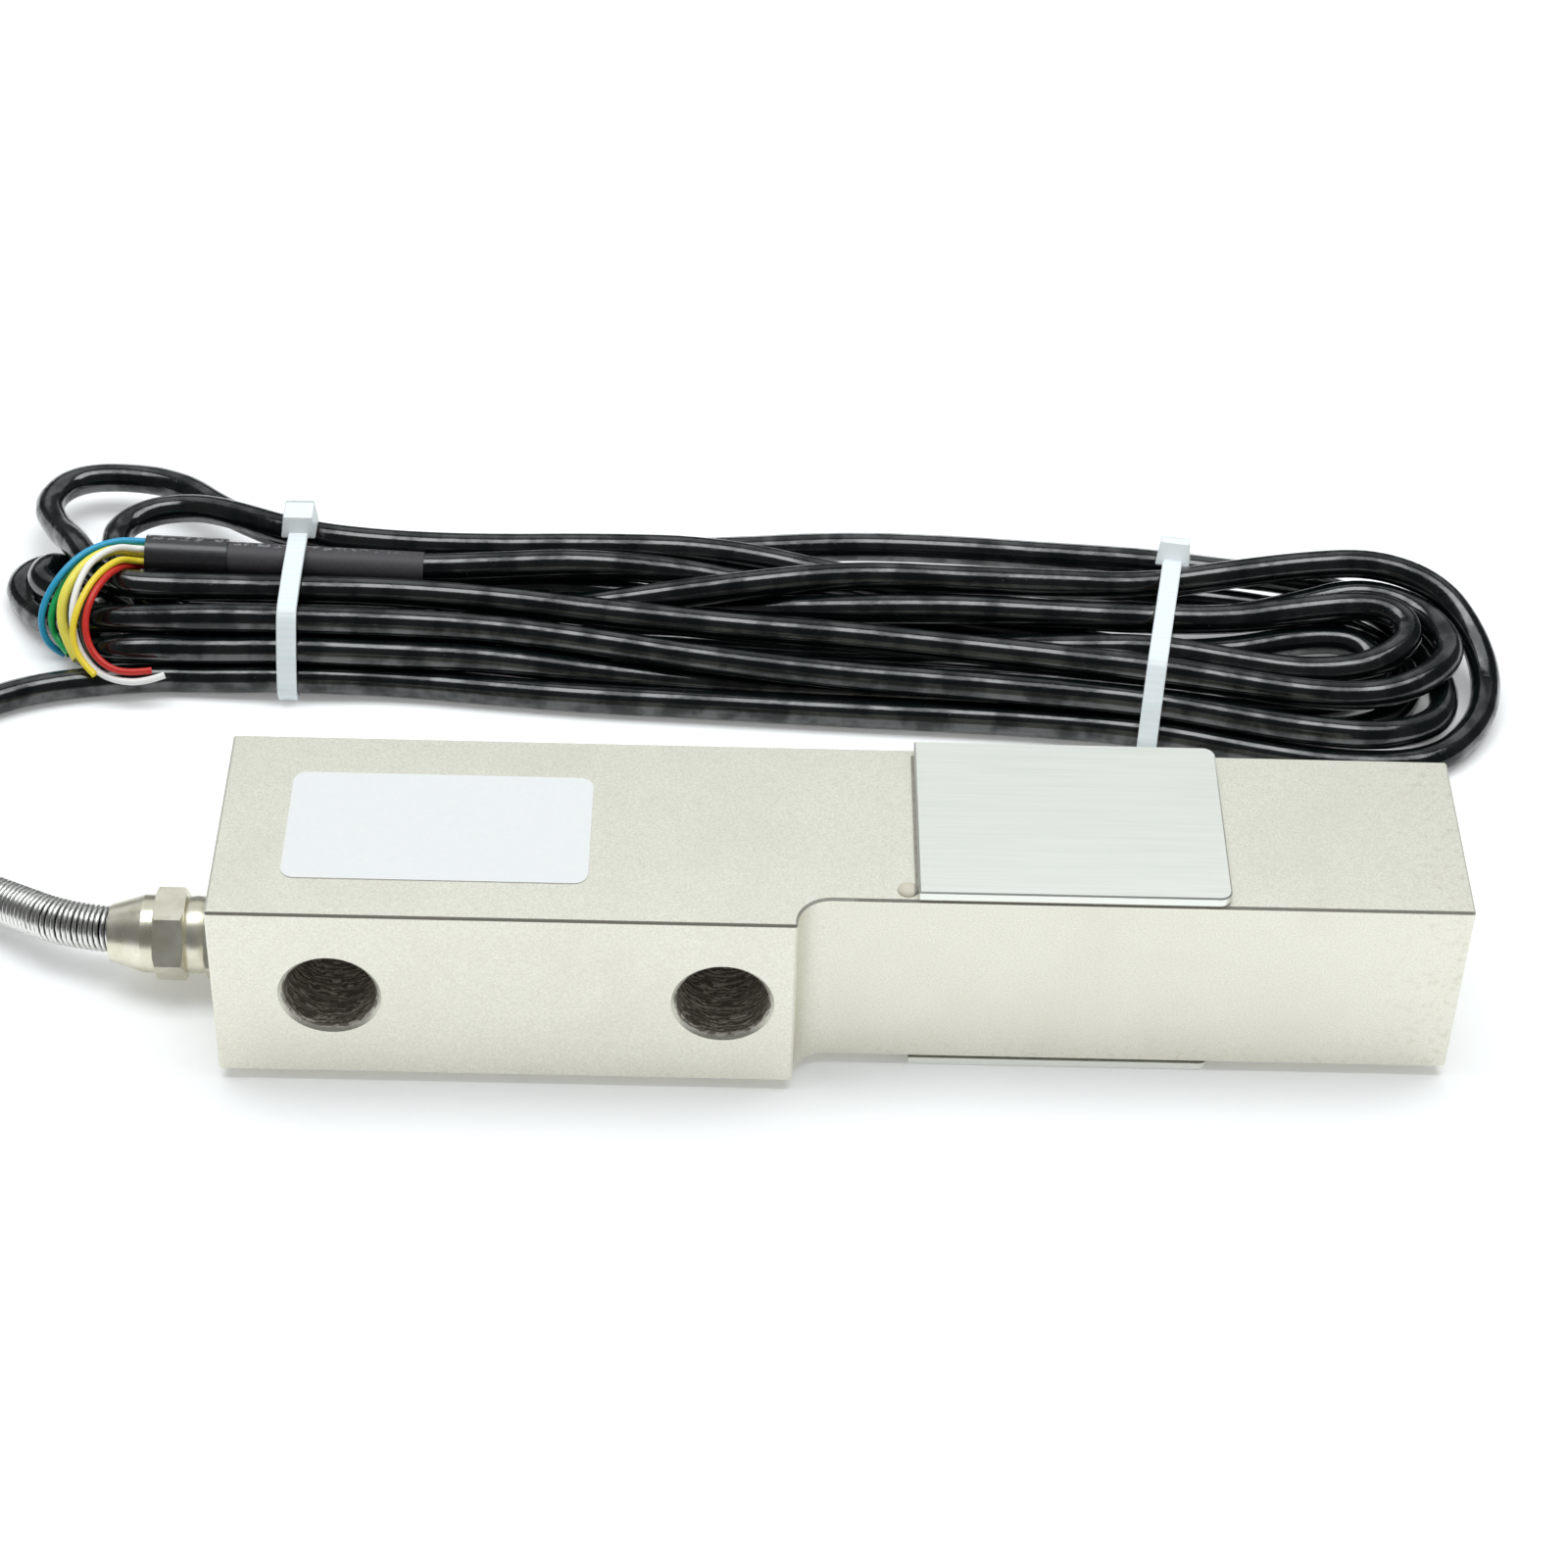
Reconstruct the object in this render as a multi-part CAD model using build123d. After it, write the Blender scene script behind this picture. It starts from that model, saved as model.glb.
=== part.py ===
from build123d import *
import os
from math import cos, pi, radians, sin, sqrt, tan

# Shear beam load cell, lying on its lower cover plate as it does on a bench, with its
# cable wound into a tied hank behind it. Millimetres, +Z up, +X from the cable end to the
# loaded end, +Y away from the mounting face. The origin is on the bench surface, under the
# middle of the beam.

# Beam, a bar of nickel-plated steel
beam_length = 203.2
beam_depth = 43.4
beam_height = 35.5
pad_length = 94.3
pad_step = 6.4
step_fillet = 5.5
edge_break = 0.4

# Two through holes that bolt the pad down, and the blind tapped hole that takes the load
bolt_hole_diameter = 15.0
bolt_hole_inset = 19.05
bolt_spacing = 63.5
bolt_hole_chamfer = 0.9
load_hole_inset = 19.05
load_hole_diameter = 16.5
load_hole_depth = 26.0
load_hole_chamfer = 1.0
drill_point_angle = 118.0

# Gauge pockets from above and below, which leave a thin web between them
web_thickness = 7.0
pocket_length = 36.0
pocket_side_wall = 6.5
pocket_corner = 8.0
pocket_centre_from_end = 64.45
web_hole_diameter = 4.0
web_hole_offset = 12.65

# Cover plates, glued over the pockets on a flat bead
plate_length = 50.3
plate_thickness = 1.6
plate_corner = 2.0
plate_sharp_corner = 0.3
plate_edge = 0.25
bead_thickness = 0.3
bead_inset = 0.6
bead_overrun = 0.5
bead_inner_margin = 1.5
glue_blob_radius = 1.7
glue_blob_height = 0.9

# Gland port and wiring bore
gland_depth_position = 2.2
gland_above_beam_bottom = 7.7
port_diameter = 10.0
port_depth = 9.0
wiring_bore_diameter = 3.6

# Pieces in the pockets
gauge_length = 12.0
gauge_width = 10.0
gauge_thickness = 0.3
grid_length = 5.5
grid_width = 3.4
grid_thickness = 0.1
board_length = 7.0
board_width = 14.0
board_thickness = 1.0
board_gap = 2.0
resistor_length = 3.2
resistor_width = 1.6
resistor_height = 0.8
resistor_pitch = 4.0
resistor_count = 3
lead_diameter = 0.8
lead_pitch = 1.0
lead_clearance = 0.15
bridge_lead_count = 3
core_lead_count = 4
core_lead_pitch = 2.4
core_bundle_diameter = 3.0
core_bundle_overrun = 2.5
potting_gap = 1.5

# Bare rating label
label_length = 49.4
label_width = 25.5
label_thickness = 0.15
label_corner = 2.3
label_from_end = 11.1
label_offset = -0.3

# Cable gland, a body screwed into the port and a cap nut over it
hex_across_flats = 14.0
hex_chamfer = 0.7
shank_length = 8.0
flange_length = 4.0
neck_length = 3.4
neck_diameter = 12.6
neck_bulge = 0.3
spigot_length = 6.4
spigot_diameter = 9.2
body_bore_diameter = 6.0
seal_seat_diameter = 7.8
seal_seat_depth = 4.5
seal_length = 5.6
seal_clearance = 0.1
clamp_ring_length = 1.0
nut_hex_length = 5.1
nut_collar_length = 2.1
nut_collar_diameter = 13.2
nut_length = 12.9
nut_tip_diameter = 9.6
nut_clearance = 0.15
nut_mouth_flare = 0.4
o_ring_inner = 10.6
o_ring_outer = 12.6
o_ring_thickness = 0.8

# Spring that guards the cable, and the cable itself
spring_diameter = 7.95
spring_wire = 0.8
spring_length = 56.5
spring_clearance = 0.05
cable_diameter = 5.5
jacket_cut_back = 5.4

# Hank of cable, heights above the bench
hank_height = 16.9
hank_loop_height = 10.3
hank_tip_height = 8.5
strap_thickness = 1.2
strap_width = 3.6
strap_corner = 5.5
hank_edge = 2.6
tie_head_width = 6.4
tie_head_length = 6.6
tie_head_height = 4.6
tie_head_corner = 1.0
tie_tail_length = 2.2
tie_cut_clearance = 0.1

# Heat-shrink sleeves over the cable's free end
sleeve_diameter = 6.2
sleeve_end_diameter = 7.2
sleeve_length = 36.5
sleeve_end_length = 15.1
sleeve_tail_x = -76.6
sleeve_depth_position = 98.4
sleeve_height_at_tie = 13.7
sleeve_tilt = 2.2
groove_clearance = 0.1

# Conductors out of the sleeve
wire_diameter = 1.3
shield_sleeve_diameter = 2.0
wire_circle_radius = 2.3
wire_first_run = 6.0

# Heights and places worked out from the sizes above
beam_bottom = plate_thickness + bead_thickness
beam_top = beam_bottom + beam_height
beam_middle = beam_bottom + beam_height / 2
cable_end = -beam_length / 2
load_end = beam_length / 2
front_face = -beam_depth / 2
back_face = beam_depth / 2
pad_end = cable_end + pad_length
narrow_front = front_face + pad_step
narrow_width = back_face - narrow_front
narrow_middle = (back_face + narrow_front) / 2
pocket_width = narrow_width - 2 * pocket_side_wall
pocket_x = load_end - pocket_centre_from_end
pocket_depth = (beam_height - web_thickness) / 2
web_bottom = beam_bottom + pocket_depth
web_top = web_bottom + web_thickness
gland_z = beam_bottom + gland_above_beam_bottom
cable_radius = cable_diameter / 2
jacket_end_x = cable_end - jacket_cut_back


# Helpers


def ring(outer_radius, inner_radius, length):
    """A ring about the X axis, from x = 0 to x = length."""
    solid = extrude(Plane.YZ * Circle(outer_radius), length)
    if inner_radius > 0:
        solid -= extrude(Plane.YZ * Circle(inner_radius), length)
    return solid


def turned(*points):
    """A solid turned about the X axis from its half outline."""
    return revolve(make_face(Polyline(*points, close=True)), Axis.X)


def hexagon(length):
    """A hexagon bar along X, flats up and down, its corners turned off at both ends."""
    corner_radius = hex_across_flats / sqrt(3)
    bar = extrude(Plane.YZ * RegularPolygon(corner_radius, 6), length)
    turned_radius = corner_radius - hex_chamfer
    drop = hex_chamfer * tan(radians(30))
    blank = turned(
        (0, 0),
        (0, turned_radius),
        (drop, corner_radius),
        (length - drop, corner_radius),
        (length, turned_radius),
        (length, 0),
    )
    return bar & blank


def at_gland(solid, distance_out):
    """Place a solid made along +X so that it runs out of the cable end, along -X."""
    turned_round = Rot(0, 0, 180) * solid
    return Pos(cable_end - distance_out, gland_depth_position, gland_z) * turned_round


def corner_radii(points):
    """For each corner of a route, the largest arc that its two runs allow."""
    places = [Vector(*point) for point in points]
    radii = []
    for before, corner, after in zip(places, places[1:], places[2:]):
        turn = (corner - before).get_angle(after - corner)
        shorter = min((corner - before).length, (after - corner).length)
        radii.append(0.45 * shorter / tan(radians(turn) / 2))
    return radii


def route(points, radii):
    return FilletPolyline(*points, radius=radii)


def tube(path, outer_radius, inner_radius=0.0):
    """Sweep a round or ring section along a path of straight runs and arcs."""
    start = Plane(origin=path @ 0, z_dir=path % 0)
    section = Circle(outer_radius)
    if inner_radius > 0:
        section -= Circle(inner_radius)
    return sweep(start * section, path=path)


def report_route(name, path, radii, solid, section_area):
    expected = section_area * path.length
    print(name, "length", round(path.length, 1), "radii", [round(r, 1) for r in radii])
    print("   volume over section times length", round(solid.volume / expected, 4))


# Beam


def beam_blank():
    outline = Polyline(
        (cable_end, front_face),
        (pad_end, front_face),
        (pad_end, narrow_front),
        (load_end, narrow_front),
        (load_end, back_face),
        (cable_end, back_face),
        close=True,
    )
    plan = make_face(outline)
    inner_corner = plan.vertices().sort_by_distance((pad_end, narrow_front))[0]
    plan = fillet(inner_corner, min(step_fillet, pad_step - 2 * edge_break))
    blank = Pos(0, 0, beam_bottom) * extrude(plan, beam_height)
    flat_edges = blank.faces().sort_by(Axis.Z)[0].edges() + blank.faces().sort_by(Axis.Z)[-1].edges()
    corners = [
        (cable_end, front_face),
        (pad_end, front_face),
        (load_end, narrow_front),
        (load_end, back_face),
        (cable_end, back_face),
    ]
    upright = ShapeList(
        blank.edges().filter_by(Axis.Z).sort_by_distance((x, y, beam_middle))[0] for x, y in corners
    )
    return chamfer(flat_edges + upright, edge_break)


def bolt_hole(x):
    """A through hole along Y, chamfered at both mouths."""
    radius = bolt_hole_diameter / 2
    hole = ring(radius, 0, beam_depth)
    mouth = turned((0, 0), (0, radius + bolt_hole_chamfer), (bolt_hole_chamfer, radius), (bolt_hole_chamfer, 0))
    far_mouth = Pos(beam_depth, 0, 0) * mirror(mouth, Plane.YZ)
    cutter = hole + mouth + far_mouth
    return Pos(x, front_face, beam_middle) * Rot(0, 0, 90) * cutter


def load_hole():
    """A blind tapped hole into the back face, with a drill point and a chamfered mouth."""
    radius = load_hole_diameter / 2
    point = radius / tan(radians(drill_point_angle) / 2)
    cutter = turned(
        (0, 0),
        (0, radius + load_hole_chamfer),
        (load_hole_chamfer, radius),
        (load_hole_depth, radius),
        (load_hole_depth + point, 0),
    )
    return Pos(load_end - load_hole_inset, back_face, beam_middle) * Rot(0, 0, -90) * cutter


def pocket_shape(height):
    corner = min(pocket_corner, pocket_width / 2 - 1)
    return extrude(RectangleRounded(pocket_length, pocket_width, corner), height)


def lower_pocket():
    return Pos(pocket_x, narrow_middle, beam_bottom) * pocket_shape(pocket_depth)


def upper_pocket():
    return Pos(pocket_x, narrow_middle, web_top) * pocket_shape(pocket_depth)


def web_hole():
    hole = extrude(Circle(web_hole_diameter / 2), web_thickness)
    return Pos(pocket_x - web_hole_offset, narrow_middle, web_bottom) * hole


def gland_port():
    """The tapped port and the long bore that carries the cores to the lower pocket."""
    bore_length = pocket_x - pocket_length / 2 - cable_end
    cutter = ring(port_diameter / 2, 0, port_depth) + ring(wiring_bore_diameter / 2, 0, bore_length + 1)
    return Pos(cable_end, gland_depth_position, gland_z) * cutter


def make_beam():
    body = beam_blank()
    body -= bolt_hole(cable_end + bolt_hole_inset)
    body -= bolt_hole(cable_end + bolt_hole_inset + bolt_spacing)
    body -= load_hole()
    body -= lower_pocket()
    body -= upper_pocket()
    body -= web_hole()
    body -= gland_port()
    return body


# Covers and label


def plate_outline(grow=0.0):
    """The plate's plan: sharp corners toward the cable end, round ones toward the load."""
    half_length = plate_length / 2 + grow
    half_width = narrow_width / 2 + grow
    plan = make_face(
        Polyline(
            (-half_length, -half_width),
            (half_length, -half_width),
            (half_length, half_width),
            (-half_length, half_width),
            close=True,
        )
    )
    ends = plan.vertices().group_by(Axis.X)
    plan = fillet(ends[-1], plate_corner)
    return fillet(plan.vertices().group_by(Axis.X)[0], plate_sharp_corner)


def cover_plate():
    """A flat plate lying on z = 0, its upper edge slightly broken."""
    plate = extrude(plate_outline(), plate_thickness)
    return chamfer(plate.faces().sort_by(Axis.Z)[-1].edges(), plate_edge)


def cover_bead():
    """A flat frame of glue round the pocket, squeezed out a little at the cable side."""
    outer = extrude(plate_outline(-bead_inset), bead_thickness)
    overrun = Rectangle(bead_overrun + bead_inset + 1, narrow_width - 2 * plate_corner)
    strip_x = -plate_length / 2 - bead_overrun + (bead_overrun + bead_inset + 1) / 2
    outer += extrude(Pos(strip_x, 0) * overrun, bead_thickness)
    inner = RectangleRounded(
        pocket_length + 2 * bead_inner_margin,
        pocket_width + 2 * bead_inner_margin,
        min(pocket_corner, pocket_width / 2 - 1) + bead_inner_margin,
    )
    return outer - extrude(inner, bead_thickness)


def glue_blob():
    """A drop of glue left at the front corner of the upper plate."""
    drop = Sphere(glue_blob_radius) & Pos(0, 0, glue_blob_radius) * Box(
        4 * glue_blob_radius, 4 * glue_blob_radius, 2 * glue_blob_radius
    )
    return scale(drop, by=(1, 1, glue_blob_height / glue_blob_radius))


def make_covers():
    """Both plates and both beads, the lower ones turned over about the X axis."""
    upper_bead = Pos(pocket_x, narrow_middle, beam_top) * cover_bead()
    blob_x = pocket_x - plate_length / 2 - glue_blob_radius
    blob_y = narrow_front + glue_blob_radius + 2 * edge_break
    upper_bead += Pos(blob_x, blob_y, beam_top) * glue_blob()
    return {
        "upper_cover_bead": upper_bead,
        "upper_cover_plate": Pos(pocket_x, narrow_middle, beam_top + bead_thickness) * cover_plate(),
        "lower_cover_bead": Pos(pocket_x, narrow_middle, beam_bottom) * Rot(180, 0, 0) * cover_bead(),
        "lower_cover_plate": Pos(pocket_x, narrow_middle, plate_thickness) * Rot(180, 0, 0) * cover_plate(),
    }


def make_label():
    sticker = extrude(RectangleRounded(label_length, label_width, label_corner), label_thickness)
    return Pos(cable_end + label_from_end + label_length / 2, label_offset, beam_top) * sticker


# Measuring circuit in the pockets


def gauge():
    """A shear rosette on z = 0: the carrier foil and two grids at 45 degrees each way."""
    piece = extrude(RectangleRounded(gauge_length, gauge_width, 0.8), gauge_thickness)
    for side in (-1, 1):
        grid = extrude(Rectangle(grid_width, grid_length), grid_thickness)
        place = Pos(side * gauge_length / 4, 0, gauge_thickness) * Rot(0, 0, side * 45)
        piece += place * grid
    return piece


def board():
    return extrude(RectangleRounded(board_length, board_width, 0.6), board_thickness)


def board_x():
    return pocket_x + gauge_length / 2 + board_gap + board_length / 2


def on_web_top(solid, x):
    return Pos(x, narrow_middle, web_top) * solid


def under_web(solid, x):
    return Pos(x, narrow_middle, web_bottom) * Rot(180, 0, 0) * solid


def resistors():
    """Trim resistors in a row on the lower board."""
    row = []
    for index in range(resistor_count):
        offset = (index - (resistor_count - 1) / 2) * resistor_pitch
        body = Box(resistor_length, resistor_width, resistor_height)
        row.append(Pos(0, offset, board_thickness + resistor_height / 2) * body)
    return [under_web(body, board_x()) for body in row]


def bridge_leads():
    """Leads from the upper gauge, through the hole in the web, to the lower board."""
    upper_z = web_top + gauge_thickness + lead_clearance + lead_diameter / 2
    lower_z = web_bottom - board_thickness - lead_clearance - lead_diameter / 2
    hole_x = pocket_x - web_hole_offset
    gauge_x = pocket_x - gauge_length / 2 + 1
    pad_x = board_x() - board_length / 2 + 1
    bend = 1.5 * lead_diameter
    leads = []
    for index in range(bridge_lead_count):
        y = narrow_middle + (index - (bridge_lead_count - 1) / 2) * lead_pitch
        points = [(gauge_x, y, upper_z), (hole_x, y, upper_z), (hole_x, y, lower_z), (pad_x, y, lower_z)]
        leads.append(tube(route(points, [bend, bend]), lead_diameter / 2))
    return leads


def core_bundle():
    """The cable's cores, bare of their jacket, along the wiring bore."""
    start = jacket_end_x
    end = pocket_x - pocket_length / 2 + core_bundle_overrun
    rod = ring(core_bundle_diameter / 2, 0, end - start)
    return Pos(start, gland_depth_position, gland_z) * rod


def core_leads():
    """The cores fanned out from the end of the bundle to the far edge of the lower board."""
    start_x = pocket_x - pocket_length / 2 + core_bundle_overrun
    far_x = board_x() + board_length / 2 - 1
    board_z = web_bottom - board_thickness - lead_clearance - lead_diameter / 2
    low_z = gland_z - core_bundle_diameter / 2 - lead_diameter
    leads = []
    for index in range(core_lead_count):
        step = index - (core_lead_count - 1) / 2
        y = narrow_middle + step * core_lead_pitch
        start_y = gland_depth_position + step * lead_diameter * 0.9
        points = [
            (start_x, start_y, gland_z),
            (start_x + 5, start_y, gland_z),
            (start_x + 12, y, low_z),
            (far_x + 2, y, low_z),
            (far_x + 2, y, board_z),
        ]
        radii = corner_radii(points)
        leads.append(tube(route(points, radii), lead_diameter / 2))
    return leads


def make_circuit():
    pieces = {
        "upper_strain_gauge": on_web_top(gauge(), pocket_x),
        "lower_strain_gauge": under_web(gauge(), pocket_x),
        "upper_terminal_board": on_web_top(board(), board_x()),
        "lower_terminal_board": under_web(board(), board_x()),
        "trim_resistors": resistors(),
        "bridge_leads": bridge_leads(),
        "core_bundle": core_bundle(),
        "core_leads": core_leads(),
    }
    upper_fill = Pos(pocket_x, narrow_middle, web_top) * pocket_shape(pocket_depth - potting_gap)
    lower_bottom = beam_bottom + potting_gap
    lower_fill = Pos(pocket_x, narrow_middle, lower_bottom) * pocket_shape(pocket_depth - potting_gap)
    for piece in list(pieces.values()):
        solids = piece if isinstance(piece, list) else [piece]
        for solid in solids:
            upper_fill -= solid
            lower_fill -= solid
    pieces["upper_potting"] = upper_fill
    pieces["lower_potting"] = lower_fill
    return pieces


# Cable gland


def gland_body():
    """Shank, hexagon flange, rounded neck and the threaded spigot under the nut."""
    shank_radius = port_diameter / 2
    neck_radius = neck_diameter / 2
    body = Pos(-shank_length, 0, 0) * ring(shank_radius, 0, shank_length)
    body += hexagon(flange_length)
    neck_start = flange_length
    neck_end = flange_length + neck_length
    bulged = ThreePointArc(
        (neck_start, neck_radius),
        ((neck_start + neck_end) / 2, neck_radius + neck_bulge),
        (neck_end, neck_radius),
    )
    base = Polyline((neck_end, neck_radius), (neck_end, 0), (neck_start, 0), (neck_start, neck_radius))
    body += revolve(make_face(bulged + base), Axis.X)
    body += Pos(neck_end, 0, 0) * ring(spigot_diameter / 2, 0, spigot_length)
    end = neck_end + spigot_length
    body -= Pos(-shank_length, 0, 0) * ring(body_bore_diameter / 2, 0, shank_length + end)
    body -= Pos(end - seal_seat_depth, 0, 0) * ring(seal_seat_diameter / 2, 0, seal_seat_depth)
    groove = ring(o_ring_outer / 2, o_ring_inner / 2, o_ring_thickness)
    return body - groove


def spigot_end():
    return flange_length + neck_length + spigot_length


def seal_start():
    return spigot_end() - seal_seat_depth


def seal():
    """The rubber bush squeezed between the body's seat and the clamp ring."""
    inner = cable_radius + seal_clearance
    return ring(seal_seat_diameter / 2, inner, seal_length)


def clamp_ring():
    return ring(spigot_diameter / 2, cable_radius + seal_clearance, clamp_ring_length)


def nut_start():
    return flange_length + neck_length


def nut_inner_length():
    """Depth of the nut's wide bore: as far as the outer face of the clamp ring."""
    return seal_start() + seal_length + clamp_ring_length - nut_start()


def cap_nut():
    """Hexagon, collar and cone, bored for the spigot and for the spring."""
    collar_radius = nut_collar_diameter / 2
    collar_start = nut_hex_length
    cone_start = nut_hex_length + nut_collar_length
    nut = hexagon(nut_hex_length)
    nut += turned(
        (collar_start, 0),
        (collar_start, collar_radius),
        (cone_start, collar_radius),
        (nut_length, nut_tip_diameter / 2),
        (nut_length, 0),
    )
    nut -= ring(spigot_diameter / 2 + nut_clearance, 0, nut_inner_length())
    spring_bore = spring_diameter / 2 + spring_clearance
    flared = turned(
        (0, 0),
        (0, spring_bore),
        (nut_inner_length(), spring_bore),
        (nut_length, spring_bore + nut_mouth_flare),
        (nut_length, 0),
    )
    return nut - flared


def make_gland():
    o_ring = ring(o_ring_outer / 2, o_ring_inner / 2, o_ring_thickness)
    return {
        "gland_body": at_gland(gland_body(), 0),
        "gland_o_ring": at_gland(o_ring, 0),
        "gland_seal": at_gland(seal(), seal_start()),
        "clamp_ring": at_gland(clamp_ring(), seal_start() + seal_length),
        "cap_nut": at_gland(cap_nut(), nut_start()),
    }


# Cable from the gland round to the hank

lead_points = [
    (jacket_end_x, gland_depth_position, gland_z),
    (-126.4, gland_depth_position, gland_z),
    (-143.0, 13.4, 5.9),
    (-160.8, 22.5, 4.6),
    (-169.1, 40.3, 3.7),
    (-165.4, 59.3, cable_radius),
    (-150.8, 72.3, cable_radius),
    (-126.6, 77.2, cable_radius),
    (-115.6, 77.2, cable_radius),
]
hank_start_x = lead_points[-1][0]


def make_lead():
    radii = corner_radii(lead_points)
    path = route(lead_points, radii)
    lead = tube(path, cable_radius)
    report_route("cable_lead", path, radii, lead, pi * cable_radius**2)
    return lead


def make_spring():
    """The guard spring as a sleeve of its own outer and inner diameter, round the cable."""
    path = route(lead_points, corner_radii(lead_points))
    seat_distance = jacket_end_x - (cable_end - nut_start() - nut_inner_length())
    start = seat_distance / path.length
    end = (seat_distance + spring_length) / path.length
    outer = spring_diameter / 2
    return tube(path.wire().trim(start, end), outer, outer - spring_wire)


# Hank

hank_plan = [
    ((hank_start_x, 73.6), 0.6),
    ((-100.0, 73.6), 20.0),
    ((20.0, 67.5), 60.0),
    ((64.0, 62.5), 30.0),
    ((106.0, 55.5), 22.0),
    ((132.4, 84.0), 24.0),
    ((112.0, 109.0), 18.0),
    ((62.0, 108.0), 30.0),
    ((10.0, 119.5), 50.0),
    ((-64.0, 112.0), 40.0),
    ((-104.0, 112.0), 20.0),
    ((-132.0, 134.5), 9.0),
    ((-152.5, 132.0), 9.0),
    ((-151.0, 112.0), 6.0),
    ((-158.5, 102.0), 6.0),
    ((-153.0, 93.8), 5.0),
    ((-136.4, 93.8), 5.0),
    ((-129.5, 81.5), 5.0),
    ((hank_start_x, 81.5), 0.6),
]
hank_side = [
    (-160.0, 0.0),
    (-160.0, hank_tip_height),
    (-148.0, hank_loop_height),
    (-117.0, hank_loop_height),
    (-112.0, hank_height),
    (97.0, hank_height),
    (118.0, 13.5),
    (129.6, 9.5),
    (129.6, 0.0),
]

left_tie = {"x": -100.1, "slant": 0.0, "front": 73.7, "back": 110.6, "head": 104.8}
right_tie = {"x": 61.2, "slant": -9.5, "front": 63.7, "back": 109.3, "head": 103.0}


def tie_section(tie, grow, bottom):
    """The hank's rounded section inside a tie, drawn on the YZ plane."""
    width = tie["back"] - tie["front"] + 2 * grow
    height = hank_height + grow - bottom
    middle_y = (tie["front"] + tie["back"]) / 2
    outline = RectangleRounded(width, height, strap_corner + grow)
    return Plane.YZ * Pos(middle_y, bottom + height / 2) * outline


def tie_place(tie):
    """Turn about the middle of the section, then move to the tie's place along X."""
    middle_y = (tie["front"] + tie["back"]) / 2
    return Pos(tie["x"], middle_y, 0) * Rot(0, 0, tie["slant"]) * Pos(-strap_width / 2, -middle_y, 0)


def tie_slab(tie, extra):
    slab = Box(strap_width + 2 * extra, 90, 60)
    middle_y = (tie["front"] + tie["back"]) / 2
    return Pos(tie["x"], middle_y, 0) * Rot(0, 0, tie["slant"]) * slab


def waist(tie):
    """What the hank keeps under a strap."""
    core = extrude(tie_section(tie, 0, strap_thickness), strap_width + 2 * tie_cut_clearance)
    return tie_place(tie) * Pos(-tie_cut_clearance, 0, 0) * core


def make_tie(tie):
    strap = extrude(tie_section(tie, strap_thickness, 0), strap_width)
    strap -= extrude(tie_section(tie, 0, strap_thickness), strap_width)
    head = Box(tie_head_width, tie_head_length, tie_head_height)
    head = fillet(head.edges().filter_by(Axis.Z), tie_head_corner)
    head_z = hank_height + tie_head_height / 2
    head = Pos(strap_width / 2, tie["head"], head_z) * head
    tail = Box(strap_width, strap_thickness, tie_tail_length + tie_head_height / 2)
    tail_z = hank_height + tie_head_height + tie_tail_length / 2 - tie_head_height / 4
    tail = Pos(strap_width / 2, tie["head"] - tie_head_length / 4, tail_z) * tail
    return tie_place(tie) * (strap + head + tail)


def sleeve_place(distance_out):
    """A place on the sleeves' common axis, whose +X runs out along it from their tail."""
    rise = (left_tie["x"] - sleeve_tail_x) * tan(radians(sleeve_tilt))
    tail = Pos(sleeve_tail_x, sleeve_depth_position, sleeve_height_at_tie + rise)
    return tail * Rot(0, sleeve_tilt, 0) * Rot(0, 0, 180) * Pos(distance_out, 0, 0)


def sleeve_groove():
    """The channel in the hank's top that both sleeves lie in."""
    channels = []
    for start, length, diameter in (
        (-1, sleeve_length + 1, sleeve_diameter),
        (sleeve_length - groove_clearance, sleeve_end_length + 2, sleeve_end_diameter),
    ):
        radius = diameter / 2 + groove_clearance
        channel = extrude(Plane.YZ * Circle(radius), length)
        opening = extrude(Plane.YZ * Pos(0, 10) * Rectangle(2 * radius, 20), length)
        channels.append(sleeve_place(start) * (channel + opening))
    return channels[0] + channels[1]


def make_hank():
    points = [point for point, radius in hank_plan]
    radii = [radius for point, radius in hank_plan]
    plan = make_face(FilletPolyline(*points, radius=radii, close=True))
    solid = extrude(plan, hank_height)
    rim = solid.faces().sort_by(Axis.Z)[-1].edges() - solid.edges().group_by(Axis.X)[0]
    solid = fillet(rim, hank_edge)
    side = make_face(Polyline(*hank_side, close=True))
    solid &= extrude(Plane.XZ * side, -200)
    solid -= sleeve_groove()
    for tie in (left_tie, right_tie):
        kept = waist(tie) - sleeve_groove()
        solid -= tie_slab(tie, tie_cut_clearance)
        solid += kept
    return solid


# Heat-shrink and conductors at the cable's free end


def make_sleeves():
    long_sleeve = ring(sleeve_diameter / 2, 0, sleeve_length)
    end_sleeve = ring(sleeve_end_diameter / 2, 0, sleeve_end_length)
    return {
        "heat_shrink_long": sleeve_place(0) * long_sleeve,
        "heat_shrink_end": sleeve_place(sleeve_length) * end_sleeve,
    }


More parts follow.
